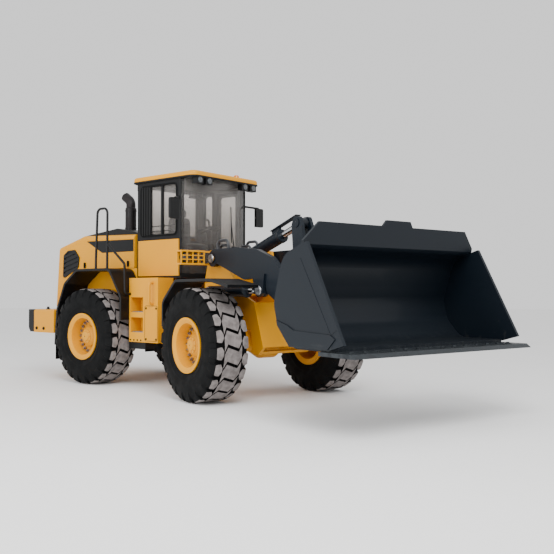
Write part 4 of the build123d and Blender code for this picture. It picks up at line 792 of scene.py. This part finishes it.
def cushion(low, high, crown, seams, face_axis):
    """A stuffed pad between two corners: rounded, crowned on one face and pulled in along sewn seams."""
    low, high = Vector(low), Vector(high)
    seam_depth, seam_width, face_inset, squareness = 0.016, 0.06, 0.012, 5
    shape = bmesh.new()
    bmesh.ops.create_cube(shape, size=2)
    bmesh.ops.subdivide_edges(shape, edges=shape.edges[:], cuts=24, use_grid_fill=True)
    across = [axis for axis in (0, 1, 2) if axis != face_axis]
    for vert in shape.verts:
        u, v = (vert.co[axis] for axis in across)
        roundness = sum(abs(part) ** squareness for part in vert.co) ** (1 / squareness)
        swell = crown * (1 - u * u) * (1 - v * v)
        for seam in seams:
            swell -= seam_depth * exp(-(((v - seam) / seam_width) ** 2))
        facing = max(0.0, vert.co[face_axis])
        vert.co /= roundness
        vert.co = Vector(((1 + c) * h + (1 - c) * l for c, l, h in zip(vert.co, low, high))) / 2
        vert.co[face_axis] += facing * swell - face_inset * facing
    return shape


seat_pads = (
    ("seat_cushion", (-0.680, -0.245, 2.255), (-0.195, 0.245, 2.385), 0.025, (-0.55, 0.55), 2),
    ("seat_back", (-0.775, -0.235, 2.400), (-0.655, 0.235, 2.860), 0.022, (-0.25, 0.45), 0),
    ("head_rest", (-0.765, -0.140, 2.865), (-0.665, 0.140, 2.995), 0.015, (), 0),
)
for name, low, high, crown, seams, face_axis in seat_pads:
    shape = cushion(low, high, crown, seams, face_axis)
    pad = fit(name, shape, rear_body, "rear_body", "seat_cloth", seat_cloth)
    if name == "seat_cushion":
        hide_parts("seat")
bellows_low, fold_height, fold_count = 1.850, 0.058, 7
bellows_outline = rectangle((-0.620, -0.190), (-0.280, 0.190), 0.05)
shape = bmesh.new()
for fold in range(fold_count):
    fold_low = bellows_low + fold * fold_height
    slab(shape, bellows_outline, fold_low, fold_low + fold_height, 2)
eased(shape, 0.018, 3)
fit("seat_bellows", shape, rear_body, "rear_body", "seat_cloth", black_rubber)
paint_nodes(black_plastic, "controls")
lever_y = -0.440
shape = bmesh.new()
for x in (-0.300, -0.220):
    rod(shape, (x, lever_y, 2.470), (x + 0.020, lever_y, 2.600), 0.008, 12)
    rod(shape, (x + 0.018, lever_y, 2.590), (x + 0.024, lever_y, 2.640), 0.020, 20, 0.014)
eased(shape, 0.003)
fit("console_levers", shape, rear_body, "rear_body", "cab_plastic", black_plastic)

# Front lamps and hoses: round lamps behind amber grid guards on arms beside the boom tower, and rubber
# hoses arching over the tower. Hose rubber is dark grey with a fine wrapped grain.
paint_nodes(amber_enamel, "lamp_guards")
paint_nodes(black_plastic, "head_lamps")
hose_rubber = mottled("wrapped_hose_rubber", "#2A2C30", "#3C3E42", 0.02, (0.4, 0.55), 0.003, 0.0008)
paint_nodes(hose_rubber, "hoses")
head_lamp_x, head_lamp_height, head_lamp_places = 0.915, 2.075, (0.750, 0.940)
shape = bmesh.new()
for side in (1, -1):
    for y in head_lamp_places:
        lens(shape, (head_lamp_x, side * y, head_lamp_height), (1, 0, 0), 0.070, 0.016)
fit("head_lamp_lenses", shape, front_body, "front_body", "lamp_lens", clear_lens)

# Boom and Z-bar linkage: two slate box arms on a cross tube, the long bellcrank between them and the link
# to the bucket. Slate enamel is a dark blue-grey that shows grey dust; pins end in plated caps with
# keeper bolts.
slate_enamel = enamel("slate_machine_enamel", "#071019", "#0B1620", "#3C3A38", 0.36, 0.25, 0.25)
paint_nodes(slate_enamel, "boom", "bellcrank", "tilt_link", "lift_barrels", "tilt_barrel")


def pin_caps(name, pins, body):
    """Turned caps with three keeper bolts on both ends of cross pins: forward, up and half length."""
    cap_height, cap_radius, cap_top, bolt_circle = 0.016, 0.070, 0.062, 0.042
    shape = bmesh.new()
    for x, z, reach in pins:
        for side in (1, -1):
            face = side * (reach + cap_height)
            rod(shape, (x, side * reach, z), (x, face, z), cap_radius, 32, cap_top)
            angles = [k * 2 * pi / 3 for k in range(3)]
            spots = [(x + bolt_circle * cos(a), face, z + bolt_circle * sin(a)) for a in angles]
            bolts(shape, spots, (0, side, 0), 0.010, 0.012)
    fit(name, shape, front_body, body, "worn_steel", plated_steel)


pin_caps("tower_pin_caps", [(1.080, 2.060, 0.605), (1.000, 1.560, 0.620)], "front_body")
pin_caps("boom_pin_caps", [(2.339, 1.569, 0.605), (2.630, 1.900, 0.170)], "boom_body")
pin_caps("bucket_pin_caps", [(3.700, 1.080, 0.640)], "bucket_body")

# Bucket: a rolled slate shell between side plates, with a trapezoid spill guard and a bolted cutting edge.
# Digging scours the paint from the lip upwards, so streaks of bare steel fade out with height.
bucket_enamel = enamel("scoured_bucket_enamel", "#060E16", "#0A141D", "#33322F", 0.38, 0.25, 0.25)
tree = bucket_enamel.node_tree
shader = tree.nodes["Principled BSDF"]
painted = shader.inputs["Base Color"].links[0].from_socket
scratches_per_metre = (2.0, 60.0, 9.0)
spot = add(tree, "ShaderNodeTexCoord").outputs["Object"]
drag = add(tree, "ShaderNodeMapping", {"Scale": scratches_per_metre}, {"Vector": spot})
scratch = add(tree, "ShaderNodeTexNoise", {"Scale": 1.0, "Detail": 6}, {"Vector": drag.outputs["Vector"]})
height = add(tree, "ShaderNodeSeparateXYZ", links={"Vector": spot})
scour = add(
    tree,
    "ShaderNodeMapRange",
    {"From Min": 1.30, "From Max": 0.90, "To Min": -0.20, "To Max": 0.02},
    {"Value": height.outputs["Z"]},
)
bared = add(tree, "ShaderNodeMath", links={0: scratch.outputs["Fac"], 1: scour.outputs["Result"]})
cut = add(
    tree,
    "ShaderNodeMapRange",
    {"From Min": 0.56, "From Max": 0.66},
    {"Value": bared.outputs["Value"]},
)
worn = add(
    tree,
    "ShaderNodeMixRGB",
    {"Color2": linear("#33373A")},
    {"Fac": cut.outputs["Result"], "Color1": painted},
)
tree.links.new(worn.outputs["Color"], shader.inputs["Base Color"])
shine = add(tree, "ShaderNodeMapRange", {"To Max": 0.7}, {"Value": cut.outputs["Result"]})
tree.links.new(shine.outputs["Result"], shader.inputs["Metallic"])
paint_nodes(bucket_enamel, "bucket_shell", "bucket_sides", "spill_guard")
bare_steel = mottled(
    "scoured_edge_steel", "#1C2126", "#34393D", 0.06, (0.35, 0.6), 0.008, 0.001, Metallic=0.5
)
paint_nodes(bare_steel, "cutting_edge")
edge_bolt_x, edge_top, first_edge_bolt, edge_bolt_pitch, edge_bolt_count = 5.010, 0.9165, -1.30, 0.20, 14
shape = bmesh.new()
spots = [(edge_bolt_x, first_edge_bolt + edge_bolt_pitch * k, edge_top) for k in range(edge_bolt_count)]
bolts(shape, spots, (0, 0, 1), 0.021, 0.016)
fit("edge_bolts", shape, front_body, "bucket_body", "worn_steel", bare_steel)
wear_outline = [
    (3.948, 1.172),
    (3.934, 1.229),
    (4.146, 1.173),
    (4.248, 1.125),
    (4.868, 1.102),
    (4.950, 1.060),
    (4.826, 0.945),
    (4.175, 0.940),
]
edge_seam = [(4.366, 1.915), (4.868, 1.102), (4.960, 1.150)]
shape = bmesh.new()
for side in (1, -1):
    slab(shape, wear_outline, *span(side, 1.454, 1.466))
eased(shape, 0.004)
for side in (1, -1):
    strip(shape, edge_seam, 0.008, *span(side, 1.4535, 1.457), closed=False)
fit("side_wear_plates", shape, front_body, "bucket_body", "slate_paint", bucket_enamel)
weld_x, weld_height, weld_start, bead_pitch, bead_length, bead_count = 4.318, 2.060, -1.400, 0.04, 0.042, 70
shape = bmesh.new()
for bead in range(bead_count):
    y = weld_start + bead * bead_pitch
    rod(shape, (weld_x, y, weld_height), (weld_x, y + bead_length, weld_height), 0.012, 10, 0.010)
fit("spill_guard_weld", shape, front_body, "bucket_body", "worn_steel", bare_steel)

# Cylinders: slate barrels with turned glands, and hard-chromed rods with painted eyes. Chrome is a bright
# mirror, a little uneven where it is wiped. The steering pair sits low beside the hitch in black.
chrome = mottled("hard_chrome", "#C4C7CA", "#D5D7D9", 0.05, (0.08, 0.16), 0.002, 0.0002, Metallic=1.0)
paint_nodes(chrome, "lift_rods", "tilt_rod", "steer_rod_left", "steer_rod_right")
paint_nodes(black_enamel, "steer_barrel_left", "steer_barrel_right")


def sleeves(name, rings, body):
    """Slate rings: middle, direction of the axis, inner and outer radius and length."""
    for index, (middle, axis, inner, outer, length) in enumerate(rings):
        shape = bmesh.new()
        half, ease = length / 2, 0.004
        profile = [(-half, inner), (-half, outer - ease), (-half + ease, outer)]
        profile += [(half - ease, outer), (half, outer - ease), (half, inner)]
        turned(shape, profile, 40)
        turn = Vector(axis).to_track_quat("Y", "Z").to_matrix().to_4x4()
        place = front_body @ Matrix.Translation(middle) @ turn
        fit(f"{name}_{index + 1}", shape, place, body, "slate_paint", slate_enamel)


lift_base, lift_eye, lift_y = Vector((1.000, 0, 1.560)), Vector((2.339, 0, 1.569)), 0.540
tilt_base, tilt_eye = Vector((1.130, 0, 2.075)), Vector((2.560, 0, 2.520))
lift_line, tilt_line = (lift_eye - lift_base).normalized(), (tilt_eye - tilt_base).normalized()
aside = [Vector((0, side * lift_y, 0)) for side in (1, -1)]
lift_gland, tilt_gland = lift_base + lift_line * 0.955, tilt_base + tilt_line * 0.975
pin_line, rod_radius, pin_radius, eye_radius = (0, 1, 0), 0.060, 0.048, 0.0765
rings = [(lift_gland + shift, lift_line, rod_radius, 0.094, 0.055) for shift in aside]
sleeves("lift_gland", rings, "lift_barrel_body")
sleeves("tilt_gland", [(tilt_gland, tilt_line, rod_radius, 0.102, 0.060)], "tilt_barrel_body")
rings = [(lift_eye + shift, pin_line, pin_radius, eye_radius, 0.045) for shift in aside]
sleeves("lift_eye", rings, "lift_rod_body")
sleeves("tilt_eye", [(tilt_eye, pin_line, pin_radius, eye_radius, 0.100)], "tilt_rod_body")
